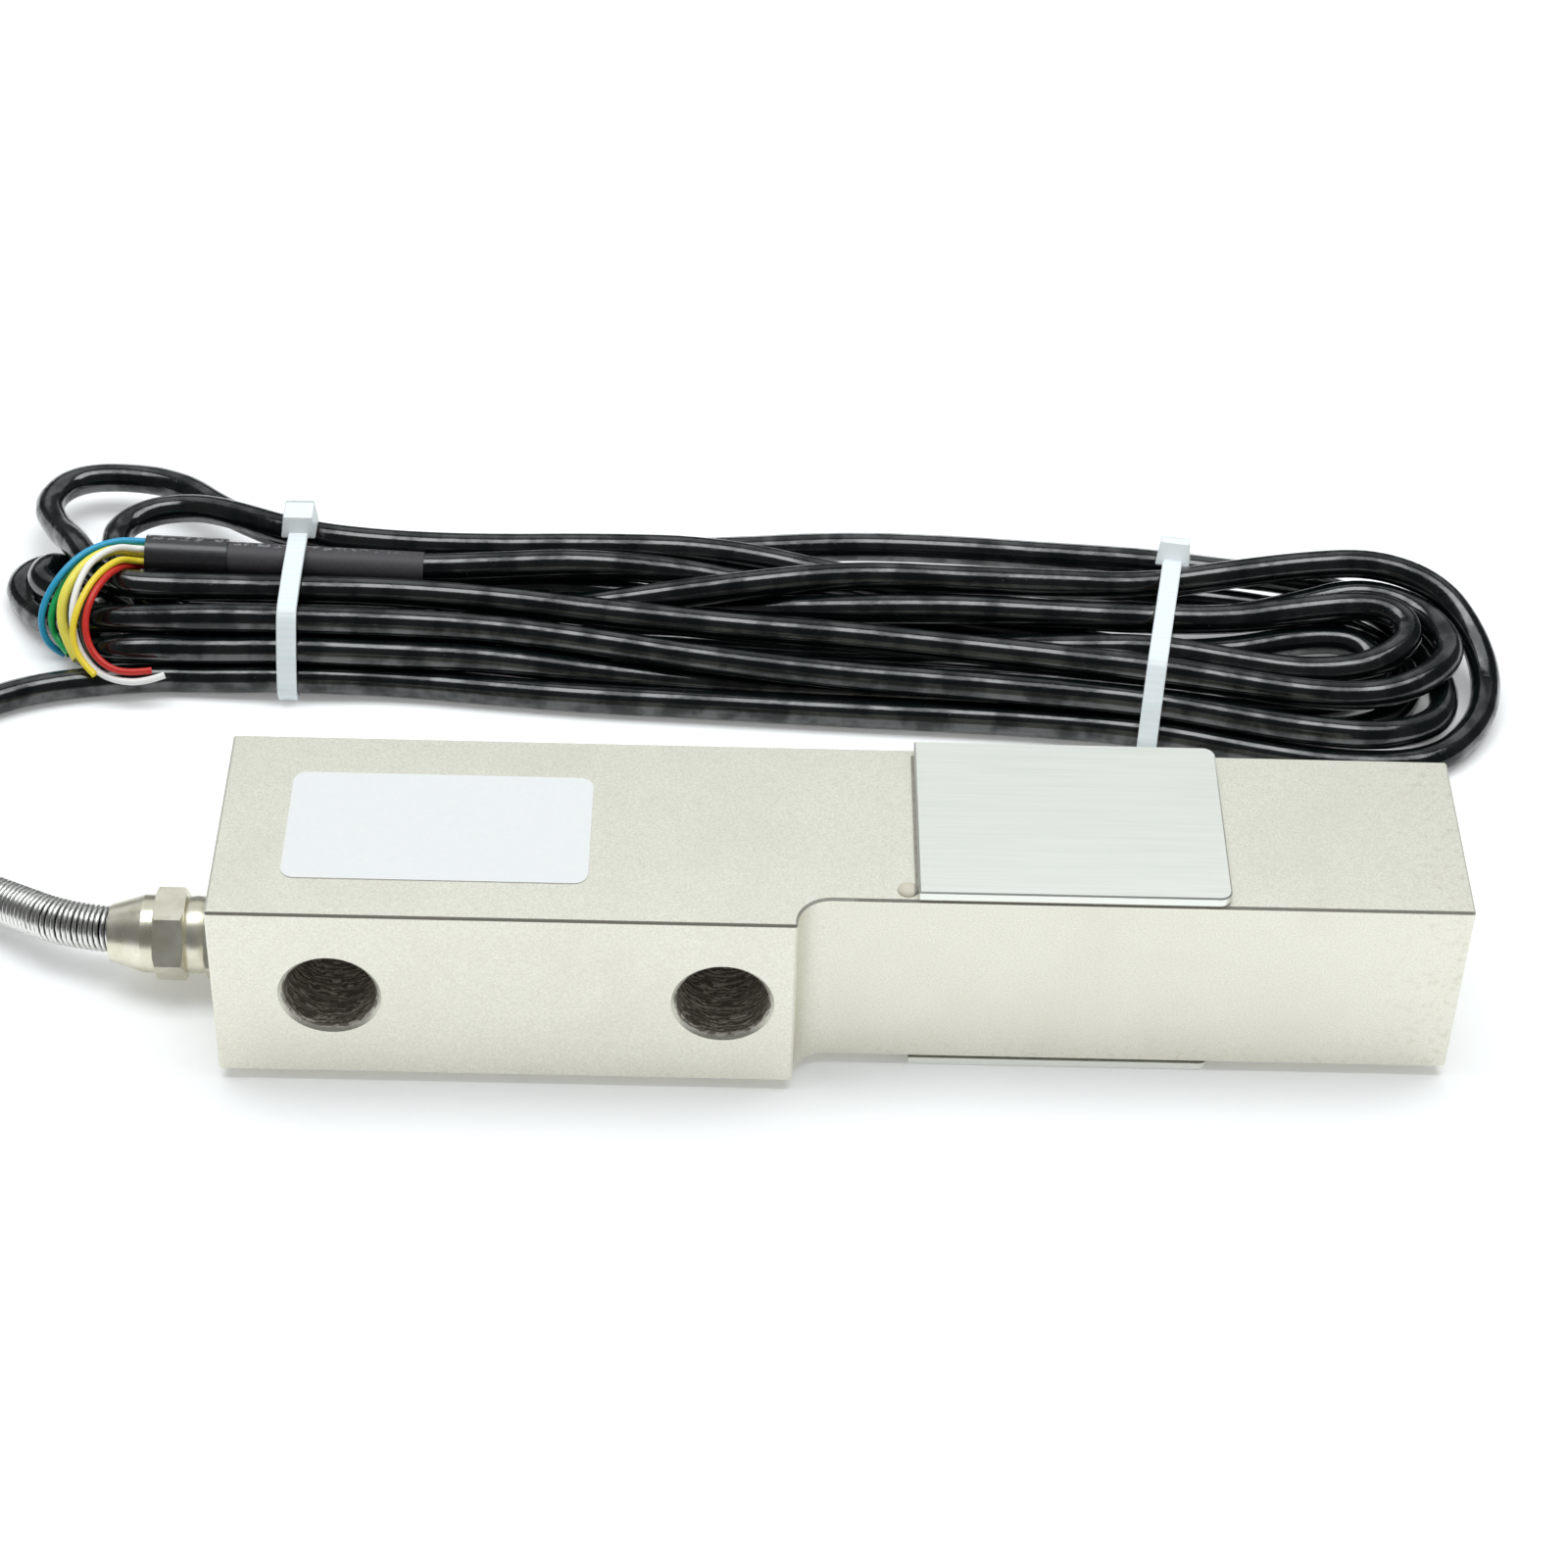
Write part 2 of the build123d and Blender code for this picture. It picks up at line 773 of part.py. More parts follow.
# Each conductor's place on the sleeve's end, in degrees from the back, and its route after it
wire_routes = {
    "wire_blue": (
        60,
        [
            (-141.6, 97.6, 14.2),
            (-146.6, 91.4, 11.0),
            (-147.6, 87.4, 6.4),
            (-145.2, 84.4, 2.2),
            (-139.8, 82.4, 0.8),
        ],
    ),
    "wire_green": (
        0,
        [
            (-141.8, 95.2, 12.4),
            (-145.0, 89.8, 8.8),
            (-143.8, 86.0, 4.8),
            (-139.4, 83.6, 3.0),
        ],
    ),
    "wire_shield_sleeve": (
        None,
        [
            (-140.6, 93.6, 13.2),
            (-143.2, 88.2, 9.8),
            (-141.9, 84.6, 5.8),
            (-137.2, 82.4, 4.2),
        ],
    ),
    "wire_white": (
        120,
        [
            (-139.0, 92.6, 15.2),
            (-141.0, 86.0, 11.6),
            (-139.8, 79.8, 8.6),
            (-134.8, 74.8, 7.0),
            (-127.2, 74.2, 6.4),
            (-120.6, 77.4, 6.4),
        ],
    ),
    "wire_black": (
        300,
        [
            (-138.4, 92.4, 11.0),
            (-140.2, 86.8, 8.4),
            (-137.6, 81.8, 6.2),
            (-131.8, 79.6, 5.2),
        ],
    ),
    "wire_yellow": (
        180,
        [
            (-137.4, 90.2, 12.6),
            (-138.2, 83.8, 9.6),
            (-135.6, 78.6, 7.9),
            (-130.4, 76.4, 6.8),
            (-124.4, 77.6, 6.4),
        ],
    ),
    "wire_red": (
        240,
        [
            (-135.8, 89.2, 10.6),
            (-135.6, 82.8, 8.4),
            (-131.4, 79.0, 7.0),
            (-125.4, 79.4, 6.4),
        ],
    ),
}


def wire_start(angle):
    """The first two points of a conductor, square to the sleeve's end face."""
    reach = 0 if angle is None else wire_circle_radius
    across = reach * cos(radians(angle or 0))
    up = reach * sin(radians(angle or 0))
    end_face = sleeve_place(sleeve_length + sleeve_end_length)
    marks = [(end_face * Pos(run, -across, up)).position for run in (0, wire_first_run)]
    return [tuple(mark) for mark in marks]


def make_wires():
    wires = {}
    for name, (angle, points) in wire_routes.items():
        radius = shield_sleeve_diameter / 2 if name == "wire_shield_sleeve" else wire_diameter / 2
        whole = wire_start(angle) + points
        radii = corner_radii(whole)
        path = route(whole, radii)
        wires[name] = tube(path, radius)
        report_route(name, path, radii, wires[name], pi * radius**2)
    return wires


# Write one file for each piece


def write(name, piece):
    shapes = piece if isinstance(piece, list) else [piece]
    solids = [solid for shape in shapes for solid in shape.solids()]
    whole = Compound(solids) if len(solids) > 1 else solids[0]
    export_step(whole, os.path.join("parts", name + ".step"))


def main():
    os.makedirs("parts", exist_ok=True)
    pieces = {"beam_body": make_beam()}
    pieces.update(make_covers())
    pieces["rating_label"] = make_label()
    pieces.update(make_circuit())
    pieces.update(make_gland())
    pieces["strain_relief_spring"] = make_spring()
    pieces["cable_lead"] = make_lead()
    pieces["cable_hank"] = make_hank()
    pieces["cable_tie_left"] = make_tie(left_tie)
    pieces["cable_tie_right"] = make_tie(right_tie)
    pieces.update(make_sleeves())
    pieces.update(make_wires())
    for name, piece in pieces.items():
        write(name, piece)
    print(len(pieces), "pieces written")


main()
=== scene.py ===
"""A shear beam load cell with its coiled cable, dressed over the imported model."""

import math

import bmesh
import bpy
import numpy as np
from mathutils import Matrix, Vector


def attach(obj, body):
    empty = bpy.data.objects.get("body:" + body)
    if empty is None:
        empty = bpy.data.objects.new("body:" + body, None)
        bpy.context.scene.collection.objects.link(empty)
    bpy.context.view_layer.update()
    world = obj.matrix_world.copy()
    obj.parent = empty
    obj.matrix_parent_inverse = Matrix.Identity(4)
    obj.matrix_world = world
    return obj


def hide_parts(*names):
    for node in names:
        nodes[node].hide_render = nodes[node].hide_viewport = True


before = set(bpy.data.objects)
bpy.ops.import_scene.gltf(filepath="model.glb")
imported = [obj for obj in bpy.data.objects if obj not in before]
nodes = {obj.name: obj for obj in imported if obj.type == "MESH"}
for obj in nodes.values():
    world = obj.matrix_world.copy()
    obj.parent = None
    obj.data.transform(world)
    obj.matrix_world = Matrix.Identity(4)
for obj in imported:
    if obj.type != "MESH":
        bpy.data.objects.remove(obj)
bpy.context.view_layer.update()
scene = bpy.context.scene
mm = 0.001

# Sizes and places that part.py also has, in millimetres

pad_face = -21.7
arm_face = -15.3
beam_top = 37.4
bolt_hole_places = (-82.55, -19.05)
bolt_hole_height = 19.65
bolt_hole_rim = 7.9
plate_left_edge = 12.0
cable_radius = 2.75
gland_y = 2.2
gland_z = 9.6
jacket_end_x = -107.0
spring_start_x = -117.5
spring_length = 56.5
spring_radius = 3.575
spring_wire = 0.8
sleeve_y = 98.4
sleeve_tail_x = -76.6
sleeve_tilt = 2.2
sleeve_height_at_tie = 13.7
sleeve_length = 36.5
sleeve_radius = 3.1
end_sleeve_length = 15.1
end_sleeve_radius = 3.6
left_tie_x = -100.1
left_tie_slant = 0.0
left_head_y = 104.8
right_tie_x = 61.2
right_tie_slant = -9.5
right_head_y = 103.0
strap_width = 3.6
strap_thickness = 1.2
tie_head_size = (6.4, 6.6, 4.6)
wire_radius = 0.65
shield_radius = 1.0
wire_circle = 2.3

# The hank's places are measured from the beam's lower left front corner
corner = Vector((-101.6, pad_face, 1.9))
hank_middle_y = 87.0


# Camera

camera_data = bpy.data.cameras.new("camera")
camera_data.lens = 85.05
camera_data.sensor_width = 36.0
camera = bpy.data.objects.new("camera", camera_data)
scene.collection.objects.link(camera)
camera_turn = Matrix(
    (
        (0.9996, -0.0225, -0.0165),
        (0.0026, 0.6634, -0.7482),
        (0.0278, 0.7479, 0.6632),
    )
)
camera.rotation_mode = "QUATERNION"
camera.rotation_quaternion = camera_turn.to_quaternion()
camera.location = (-0.0198, -0.4465, 0.4440)
scene.camera = camera
scene.view_settings.view_transform = "Standard"


# Cable


def sleeve_point(distance):
    """A point on the axis of the heat-shrink sleeves, in millimetres."""
    rise = math.tan(math.radians(sleeve_tilt))
    x = sleeve_tail_x - distance * math.cos(math.radians(sleeve_tilt))
    return (x, sleeve_y, sleeve_height_at_tie + (left_tie_x - x) * rise)


lead_route = [
    (jacket_end_x, gland_y, gland_z),
    (-126.4, gland_y, gland_z),
    (-143.0, 13.4, 5.9),
    (-160.8, 22.5, 4.6),
    (-169.1, 40.3, 3.7),
    (-165.4, 59.3, 2.75),
    (-150.8, 72.3, 2.75),
    (-126.6, 77.2, 2.75),
]

# Each pass of the hank is cut at these distances from the beam's left end
cuts = (-14, 2, 20, 38, 56, 80, 104, 125, 144, 160, 176)

# Depth and height of the cable's middle at each cut, then the points of the loop that
# takes it into the next pass. Passes go out to the right and come back in turn.
hank = [
    (
        [(98.9, 0.9), (98.2, 2), (99.4, 0.9), (97.9, 0.9), (96.1, 0.9), (94.4, 0.9),
         (93.1, 0.9), (92.3, 0.9), (91.2, 0.9), (88.2, 2), (85.8, 0.9)],
        [(194, 82.4, 0.9), (211, 82.6, 0.9), (220.8, 93, 1), (223.6, 103.5, 3),
         (221.6, 112.5, 6.5), (215, 120.5, 10), (203.5, 125.4, 12), (190, 124.8, 12.8)],
    ),
    (
        [(121.3, 13), (118.5, 11.8), (116.2, 13.9), (118, 12.9), (118.4, 11.9),
         (115, 10.9), (115.8, 5.9), (115, 4), (111.8, 2), (110.3, 2.2), (111.2, 0.9)],
        [(-25, 113.6, 0.9), (-33.5, 114.8, 0.9), (-39, 110.8, 1.2), (-38.6, 105, 2.4),
         (-33, 101.6, 4.2), (-25, 100.6, 5.4)],
    ),
    (
        [(100.8, 5.9), (100.2, 7.1), (100.6, 5.9), (101.6, 4.4), (101.4, 2.3),
         (100.2, 0.9), (98.7, 0.9), (97.9, 0.9), (96.9, 0.9), (93.9, 2), (91.5, 0.9)],
        [(190, 89.8, 0.9), (203, 92.5, 0.9), (210, 103, 0.9), (206.5, 116, 0.9),
         (194, 124, 0.9)],
    ),
    (
        [(128.5, 0.9), (128, 2), (124, 0.9), (124, 0.9), (124.5, 0.9), (123.5, 0.9),
         (122.4, 0.9), (121.8, 0.9), (122.3, 0.9), (123.5, 2), (123.8, 0.9)],
        [(-26, 125, 0.9), (-38, 128.4, 0.9), (-48.4, 130.6, 0.9), (-52.6, 125, 0.9),
         (-49.6, 118.4, 1), (-43.6, 112.6, 2.4), (-35, 108.2, 5.4), (-25, 105, 8.6)],
    ),
    (
        [(103.4, 11.2), (103.3, 11.6), (103.8, 10.9), (104.4, 9.1), (104.4, 6.6),
         (100.1, 6.4), (97, 6.4), (95.3, 6.4), (93.4, 6.4), (91, 6.6), (87.9, 5)],
        [(189, 84.6, 4.4), (202, 84.4, 4), (212.4, 90.6, 3.4), (215.6, 100.5, 3),
         (212.5, 115, 3.5), (202, 126.5, 5), (189, 129, 6)],
    ),
    (
        [(130.4, 6.4), (133, 6.4), (136, 4.8), (137.2, 5), (137.4, 5.2), (134, 5.6),
         (132.5, 5.6), (131.9, 5.2), (131.4, 5.6), (131.6, 6.6), (141, 6.4)],
        [(-23.5, 150.2, 6), (-34, 153.6, 5.4), (-45, 152.6, 5.4), (-49.6, 144, 6),
         (-46.2, 135.2, 6.6), (-41.3, 126.6, 8.2), (-36.8, 118, 9.6), (-30, 111.8, 11)],
    ),
    (
        [(111.4, 11.8), (111.4, 12), (111.7, 11.8), (111.6, 10.7), (110.7, 9.2),
         (107.1, 9.4), (104.7, 9.6), (102.2, 9.4), (99.3, 9.7), (94.8, 11.6),
         (94.2, 9)],
        [(189, 92.8, 8), (202, 94, 7), (212, 99, 7), (217.4, 107, 7.5),
         (212.5, 117.6, 8.6), (201, 122.4, 8.6), (188, 119, 7.4)],
    ),
    (
        [(116.2, 6), (116, 6.8), (119.5, 5.6), (121.5, 5.6), (125.6, 6.2), (128.6, 9.8),
         (128.8, 10), (128, 10), (127, 10.9), (128.4, 11.6), (137.4, 9.8)],
        [(-21, 140.4, 8.4), (-28.6, 140.2, 7.4), (-34.4, 135.4, 6.8), (-34.4, 126.8, 6.6),
         (-29.5, 117.5, 7), (-22, 110.6, 6.8)],
    ),
    (
        [(107.2, 6.2), (106.2, 7), (107.5, 5.4), (109.8, 3), (112.8, 0.9), (111.6, 0.9),
         (110.1, 0.9), (109.2, 3.6), (105.4, 7.2), (100.8, 11.6), (100.2, 9)],
        [(188, 99.8, 7.4), (200, 101, 7.8), (209, 108, 8.4), (209.5, 116.4, 9),
         (202.5, 119.2, 9.4), (188, 114.6, 9.8)],
    ),
    (
        [(112, 9.4), (109.1, 11.6), (111.6, 10.3), (112.2, 10.7), (112.6, 11),
         (118.8, 5.2), (121.3, 5.6), (119.5, 6.2), (117, 6.4), (115.2, 6.8),
         (116.6, 5.6)],
        [(-24, 119.5, 3), (-31.5, 123.6, 3), (-37.2, 126.8, 4.4), (-42, 127.4, 5.6),
         (-46, 124.8, 6.2), (-47.2, 120.4, 6.2), (-45, 116, 5.8), (-40, 113.4, 5.6),
         (-33, 110.8, 5.2), (-26, 107.6, 4), (-21, 105.2, 2.6)],
    ),
    (
        [(104.6, 0.9), (104, 2), (104.8, 0.9), (105.8, 0.9), (107.2, 0.9), (106, 0.9),
         (104.4, 0.9), (103.6, 0.9), (102.6, 0.9), (99.8, 2), (98, 0.9)],
        [(188, 96.8, 1), (199, 99.4, 1.6), (205, 107, 2.6), (199.5, 114, 4),
         (188, 112, 5.6)],
    ),
    (
        [(107.4, 5.8), (105, 6.6), (111.2, 4.6), (114.8, 5), (118, 5.6), (124.7, 6.4),
         (120.9, 11)],
        [],
    ),
]


def spread(count, steps):
    """For even steps along a smooth cord, how much each of its control points weighs."""
    knots = np.concatenate(([0, 0], np.arange(count - 1), [count - 2, count - 2]))
    along = np.linspace(0, count - 2, (count - 2) * steps + 1)
    along[-1] -= 1e-9
    weights = [((knots[:-1] <= t) & (t < knots[1:])).astype(float) for t in along]
    weights = np.array(weights)
    for degree in (1, 2):
        size = len(knots) - 1 - degree
        rising = np.zeros((len(along), size))
        for i in range(size):
            last = knots[i + degree + 1]
            left = knots[i + degree] - knots[i]
            right = last - knots[i + 1]
            if left > 0:
                rising[:, i] += (along - knots[i]) / left * weights[:, i]
            if right > 0:
                rising[:, i] += (last - along) / right * weights[:, i + 1]
        weights = rising
    return weights


def settle(points, widths, held, rounds=240):
    """Moves a cable's control points until no turn lies in another or in the floor."""
    steps = 8
    spacing = 0.04
    look_out = 8.0
    stride = 1.6
    lift_share = 1.5
    pull_home = 0.16
    home = np.array(points, float)
    points = home.copy()
    weights = spread(len(points), steps)
    thick = weights @ np.array(widths)
    free = np.array([0.0 if fixed else 1.0 for fixed in held])[:, None]
    share = weights.T / np.maximum(weights.sum(0)[:, None], 1e-6)
    for turn in range(rounds):
        line = weights @ points
        if turn % 10 == 0:
            gap = np.linalg.norm(line[:, None] - line[None], axis=2)
            first, second = np.nonzero(gap < look_out)
            apart = second - first > 4 * steps
            first, second = first[apart], second[apart]
        away = line[first] - line[second]
        length = np.linalg.norm(away, axis=1)[:, None] + 1e-6
        wanted = (thick[first] + thick[second] + spacing)[:, None]
        overlap = np.maximum(wanted - length, 0)
        push = away / length * overlap * 0.5
        move = np.zeros_like(line)
        hits = np.zeros(len(line))
        np.add.at(move, first, push)
        np.add.at(move, second, -push)
        np.add.at(hits, first, overlap[:, 0] > 0)
        np.add.at(hits, second, overlap[:, 0] > 0)
        move /= np.maximum(hits, 1)[:, None] ** 0.5
        step = share @ move * stride
        easing = pull_home * max(0.0, 1 - turn / (0.8 * rounds))
        step += (home - points) * easing
        points += free * step
        low = cable_radius - (weights @ points)[:, 2]
        lift = share @ np.maximum(low, 0)
        points[:, 2] += free[:, 0] * lift * lift_share
    return points


def hank_route():
    """The whole cable's control points, its half width at each, and which ones stay."""
    route = [(point, cable_radius, True) for point in lead_route]
    for number, (depths, loop) in enumerate(hank):
        places = cuts if number % 2 == 0 else tuple(reversed(cuts))
        run = [(x, y, z) for x, (y, z) in zip(places, depths)]
        for place in run + loop:
            route.append((tuple(Vector(place) + corner), cable_radius, False))
    for distance in (-14, 0, 16, 32, 46):
        half = sleeve_radius if distance > 0 else cable_radius
        half = end_sleeve_radius if distance > sleeve_length else half
        route.append((sleeve_point(distance), half, distance >= 0))
    return [list(column) for column in zip(*route)]


def smooth_cord(name, points, radius):
    """A cord on one smooth spline, from control points and a radius in millimetres."""
    curve = bpy.data.curves.new(name, "CURVE")
    curve.dimensions = "3D"
    curve.resolution_u = 8
    curve.bevel_depth = 1.0
    curve.bevel_resolution = 4
    curve.use_fill_caps = True
    spline = curve.splines.new("NURBS")
    spline.points.add(len(points) - 1)
    for place, point in zip(spline.points, points):
        place.co = (*(Vector(point) * mm), 1.0)
        place.radius = radius * mm
    spline.order_u = 3
    spline.use_endpoint_u = True
    cord = bpy.data.objects.new(name, curve)
    scene.collection.objects.link(cord)
    return cord


def centre_line(cord):
    """The points that a cord's middle runs through, and their distances along it."""
    bare = cord.copy()
    bare.data = cord.data.copy()
    bare.data.bevel_depth = 0
    scene.collection.objects.link(bare)
    graph = bpy.context.evaluated_depsgraph_get()
    mesh = bpy.data.meshes.new_from_object(bare.evaluated_get(graph))
    line = np.array([vertex.co for vertex in mesh.vertices]) / mm
    bpy.data.objects.remove(bare)
    steps = np.linalg.norm(np.diff(line, axis=0), axis=1)
    return line, np.concatenate(([0.0], np.cumsum(steps)))


route, widths, held = hank_route()
settled = settle(route, widths, held)
cable = smooth_cord("cable", settled, cable_radius)
cable_line, cable_distance = centre_line(cable)


# Conductors

# Each wire's place round the end of the sleeve in degrees, its radius, and its points
wire_points = {
    "wire_blue": (
        60,
        wire_radius,
        [(-133.8, 99.1, 17.2), (-139.2, 95.3, 17.4), (-143.7, 90.0, 15.0),
         (-146.6, 86.9, 10.0), (-146.5, 85.4, 5.6), (-144.7, 84.7, 2.6),
         (-142.9, 85.2, 1.0)],
    ),
    "wire_green": (
        0,
        wire_radius,
        [(-134.1, 98.3, 16.6), (-139.1, 94.4, 16.4), (-143.6, 89.5, 12.4),
         (-145.3, 87.4, 7.6), (-144.0, 85.5, 4.0), (-141.7, 84.0, 2.0)],
    ),
    "wire_shield_sleeve": (
        None,
        shield_radius,
        [(-133.7, 96.3, 17.6), (-138.7, 92.1, 17.2), (-141.8, 86.9, 14.5),
         (-142.4, 84.0, 10.5), (-141.0, 81.3, 7.0), (-139.2, 79.2, 4.8)],
    ),
    "wire_white": (
        120,
        wire_radius,
        [(-133.2, 95.5, 18.6), (-137.3, 91.0, 18.6), (-139.3, 84.9, 16.6),
         (-139.8, 80.5, 13.0), (-138.3, 77.2, 8.6), (-135.0, 74.0, 6.4),
         (-130.9, 72.3, 5.6), (-126.0, 72.1, 5.6), (-122.3, 73.4, 6.4)],
    ),
    "wire_black": (
        300,
        wire_radius,
        [(-133.4, 93.3, 16.8), (-136.4, 88.2, 16.0), (-138.3, 83.5, 12.6),
         (-137.5, 78.7, 8.6), (-134.2, 74.8, 6.8)],
    ),
    "wire_yellow": (
        180,
        wire_radius,
        [(-132.4, 92.6, 18.0), (-135.8, 87.2, 18.2), (-138.3, 81.4, 16.0),
         (-139.5, 77.9, 12.0), (-138.2, 75.6, 7.8), (-135.0, 73.0, 6.4)],
    ),
    "wire_red": (
        240,
        wire_radius,
        [(-132.9, 90.3, 17.6), (-135.8, 83.7, 17.2), (-137.2, 79.1, 13.8),
         (-136.0, 75.9, 10.0), (-132.7, 73.5, 7.8), (-128.8, 72.9, 7.0),
         (-124.7, 73.9, 7.0)],
    ),
}
eye = camera.location / mm


def laid_over(points, radius):
    """Brings a wire's points toward the camera until they lie on the cable's turns."""
    clearance = 0.1
    moved = []
    for point in points:
        point = Vector(point)
        toward = (eye - point).normalized()
        ways = cable_line - np.array(point)
        depth = ways @ np.array(toward)
        aside = np.linalg.norm(ways - depth[:, None] * np.array(toward), axis=1)
        room = cable_radius + radius + clearance
        near = aside < room
        rise = depth[near] + np.sqrt(room**2 - aside[near] ** 2)
        point += toward * max([0.0, *rise])
        moved.append(tuple(point))
    return moved


sleeve_end = sleeve_length + end_sleeve_length
wires = {}
for name, (angle, radius, points) in wire_points.items():
    reach = 0 if angle is None else wire_circle
    turn = math.radians(angle or 0)
    aside = Vector((0, reach * math.cos(turn), reach * math.sin(turn)))
    ends = [Vector(sleeve_point(sleeve_end + run)) for run in (-4, 0, 2)]
    points = laid_over(points, radius)
    wires[name] = smooth_cord(name, [end + aside for end in ends] + points, radius)


# Materials


class Value:
    """A socket in a material, so that its sums read as plain arithmetic."""

    def __init__(self, finish, socket):
        self.finish = finish
        self.socket = socket

    def sum(self, operation, *values):
        inputs = dict(enumerate(values))
        return self.finish.node("ShaderNodeMath", {"operation": operation}, inputs)

    def __add__(self, other):
        return self.sum("ADD", self, other)

    __radd__ = __add__

    def __sub__(self, other):
        return self.sum("SUBTRACT", self, other)

    def __rsub__(self, other):
        return self.sum("SUBTRACT", other, self)

    def __mul__(self, other):
        return self.sum("MULTIPLY", self, other)

    def __pow__(self, other):
        return self.sum("POWER", self, other)

    def above(self, edge, soft):
        """0 below the edge and 1 above it, over a soft width."""
        settings = {"interpolation_type": "SMOOTHSTEP"}
        inputs = {"Value": self, "From Min": edge - soft, "From Max": edge + soft}
        return self.finish.node("ShaderNodeMapRange", settings, inputs)

    def below(self, edge, soft):
        """1 below the edge and 0 above it, over a soft width."""
        return 1 - self.above(edge, soft)

    def sine(self):
        return self.sum("SINE", self)

    def root(self):
        return self.sum("SQRT", self)

    def lower(self, other):
        return self.sum("MINIMUM", self, other)

    def higher(self, other):
        return self.sum("MAXIMUM", self, other)


class Finish:
    """One material, with its pattern in the part's own coordinates."""

    def __init__(self, name, **plain):
        self.material = bpy.data.materials.new(name)
        self.material.use_nodes = True
        self.tree = self.material.node_tree
        self.tree.nodes.clear()
        self.shader = self.tree.nodes.new("ShaderNodeBsdfPrincipled")
        output = self.tree.nodes.new("ShaderNodeOutputMaterial")
        self.tree.links.new(self.shader.outputs[0], output.inputs[0])
        self.place = self.node("ShaderNodeTexCoord", {}, {}, "Object")
        for socket, value in plain.items():
            self.set(socket.replace("_", " "), value)
        self.bumps = None

    def node(self, kind, settings, inputs, output=0):
        """A new node with its settings and inputs, as the value of one output."""
        made = self.tree.nodes.new(kind)
        for setting, value in settings.items():
            setattr(made, setting, value)
        for socket, value in inputs.items():
            if isinstance(value, Value):
                self.tree.links.new(value.socket, made.inputs[socket])
            else:
                made.inputs[socket].default_value = value
        return Value(self, made.outputs[output])

    def set(self, socket, value):
        """Gives the shader's socket a pattern, a colour or a number."""
        if isinstance(value, Value):
            self.tree.links.new(value.socket, self.shader.inputs[socket])
        elif isinstance(value, tuple):
            self.shader.inputs[socket].default_value = (*value, 1.0)
        else:
            self.shader.inputs[socket].default_value = value

    def axes(self):
        """The place on the part along each axis, in millimetres."""
        settings = {"operation": "SCALE"}
        inputs = {0: self.place, "Scale": 1 / mm}
        scaled = self.node("ShaderNodeVectorMath", settings, inputs)
        split = self.node("ShaderNodeSeparateXYZ", {}, {0: scaled})
        outputs = split.socket.node.outputs
        return [Value(self, outputs[i]) for i in range(3)]

    def stretched(self, x, y, z):
        """The place on the part, drawn out differently along each axis."""
        settings = {"operation": "MULTIPLY"}
        return self.node("ShaderNodeVectorMath", settings, {0: self.place, 1: (x, y, z)})

    def noise(self, per_mm, detail, place=None, distort=0.0):
        """Soft noise from 0 to 1, with about this many patches to a millimetre."""
        inputs = {
            "Vector": place or self.place,
            "Scale": per_mm / mm,
            "Detail": detail,
            "Roughness": 0.55,
            "Distortion": distort,
        }
        return self.node("ShaderNodeTexNoise", {}, inputs)

    def ring(self, x, z, radius, axes):
        """Distance outside a cylinder that runs front to back."""
        along, _, up = axes
        return (((along - x) ** 2.0) + ((up - z) ** 2.0)).root() - radius

    def blend(self, mask, first, second):
        """A colour that goes from the first to the second with the mask."""
        inputs = {0: mask}
        for socket, shade in ((6, first), (7, second)):
            inputs[socket] = shade if isinstance(shade, Value) else (*shade, 1.0)
        return self.node("ShaderNodeMix", {"data_type": "RGBA"}, inputs, 2)

    def bump(self, height, depth_mm, strength):
        """Adds a relief this deep to those that the material has."""
        inputs = {"Height": height, "Distance": depth_mm * mm, "Strength": strength}
        if self.bumps is not None:
            inputs["Normal"] = self.bumps
        self.bumps = self.node("ShaderNodeBump", {}, inputs)
        self.set("Normal", self.bumps)


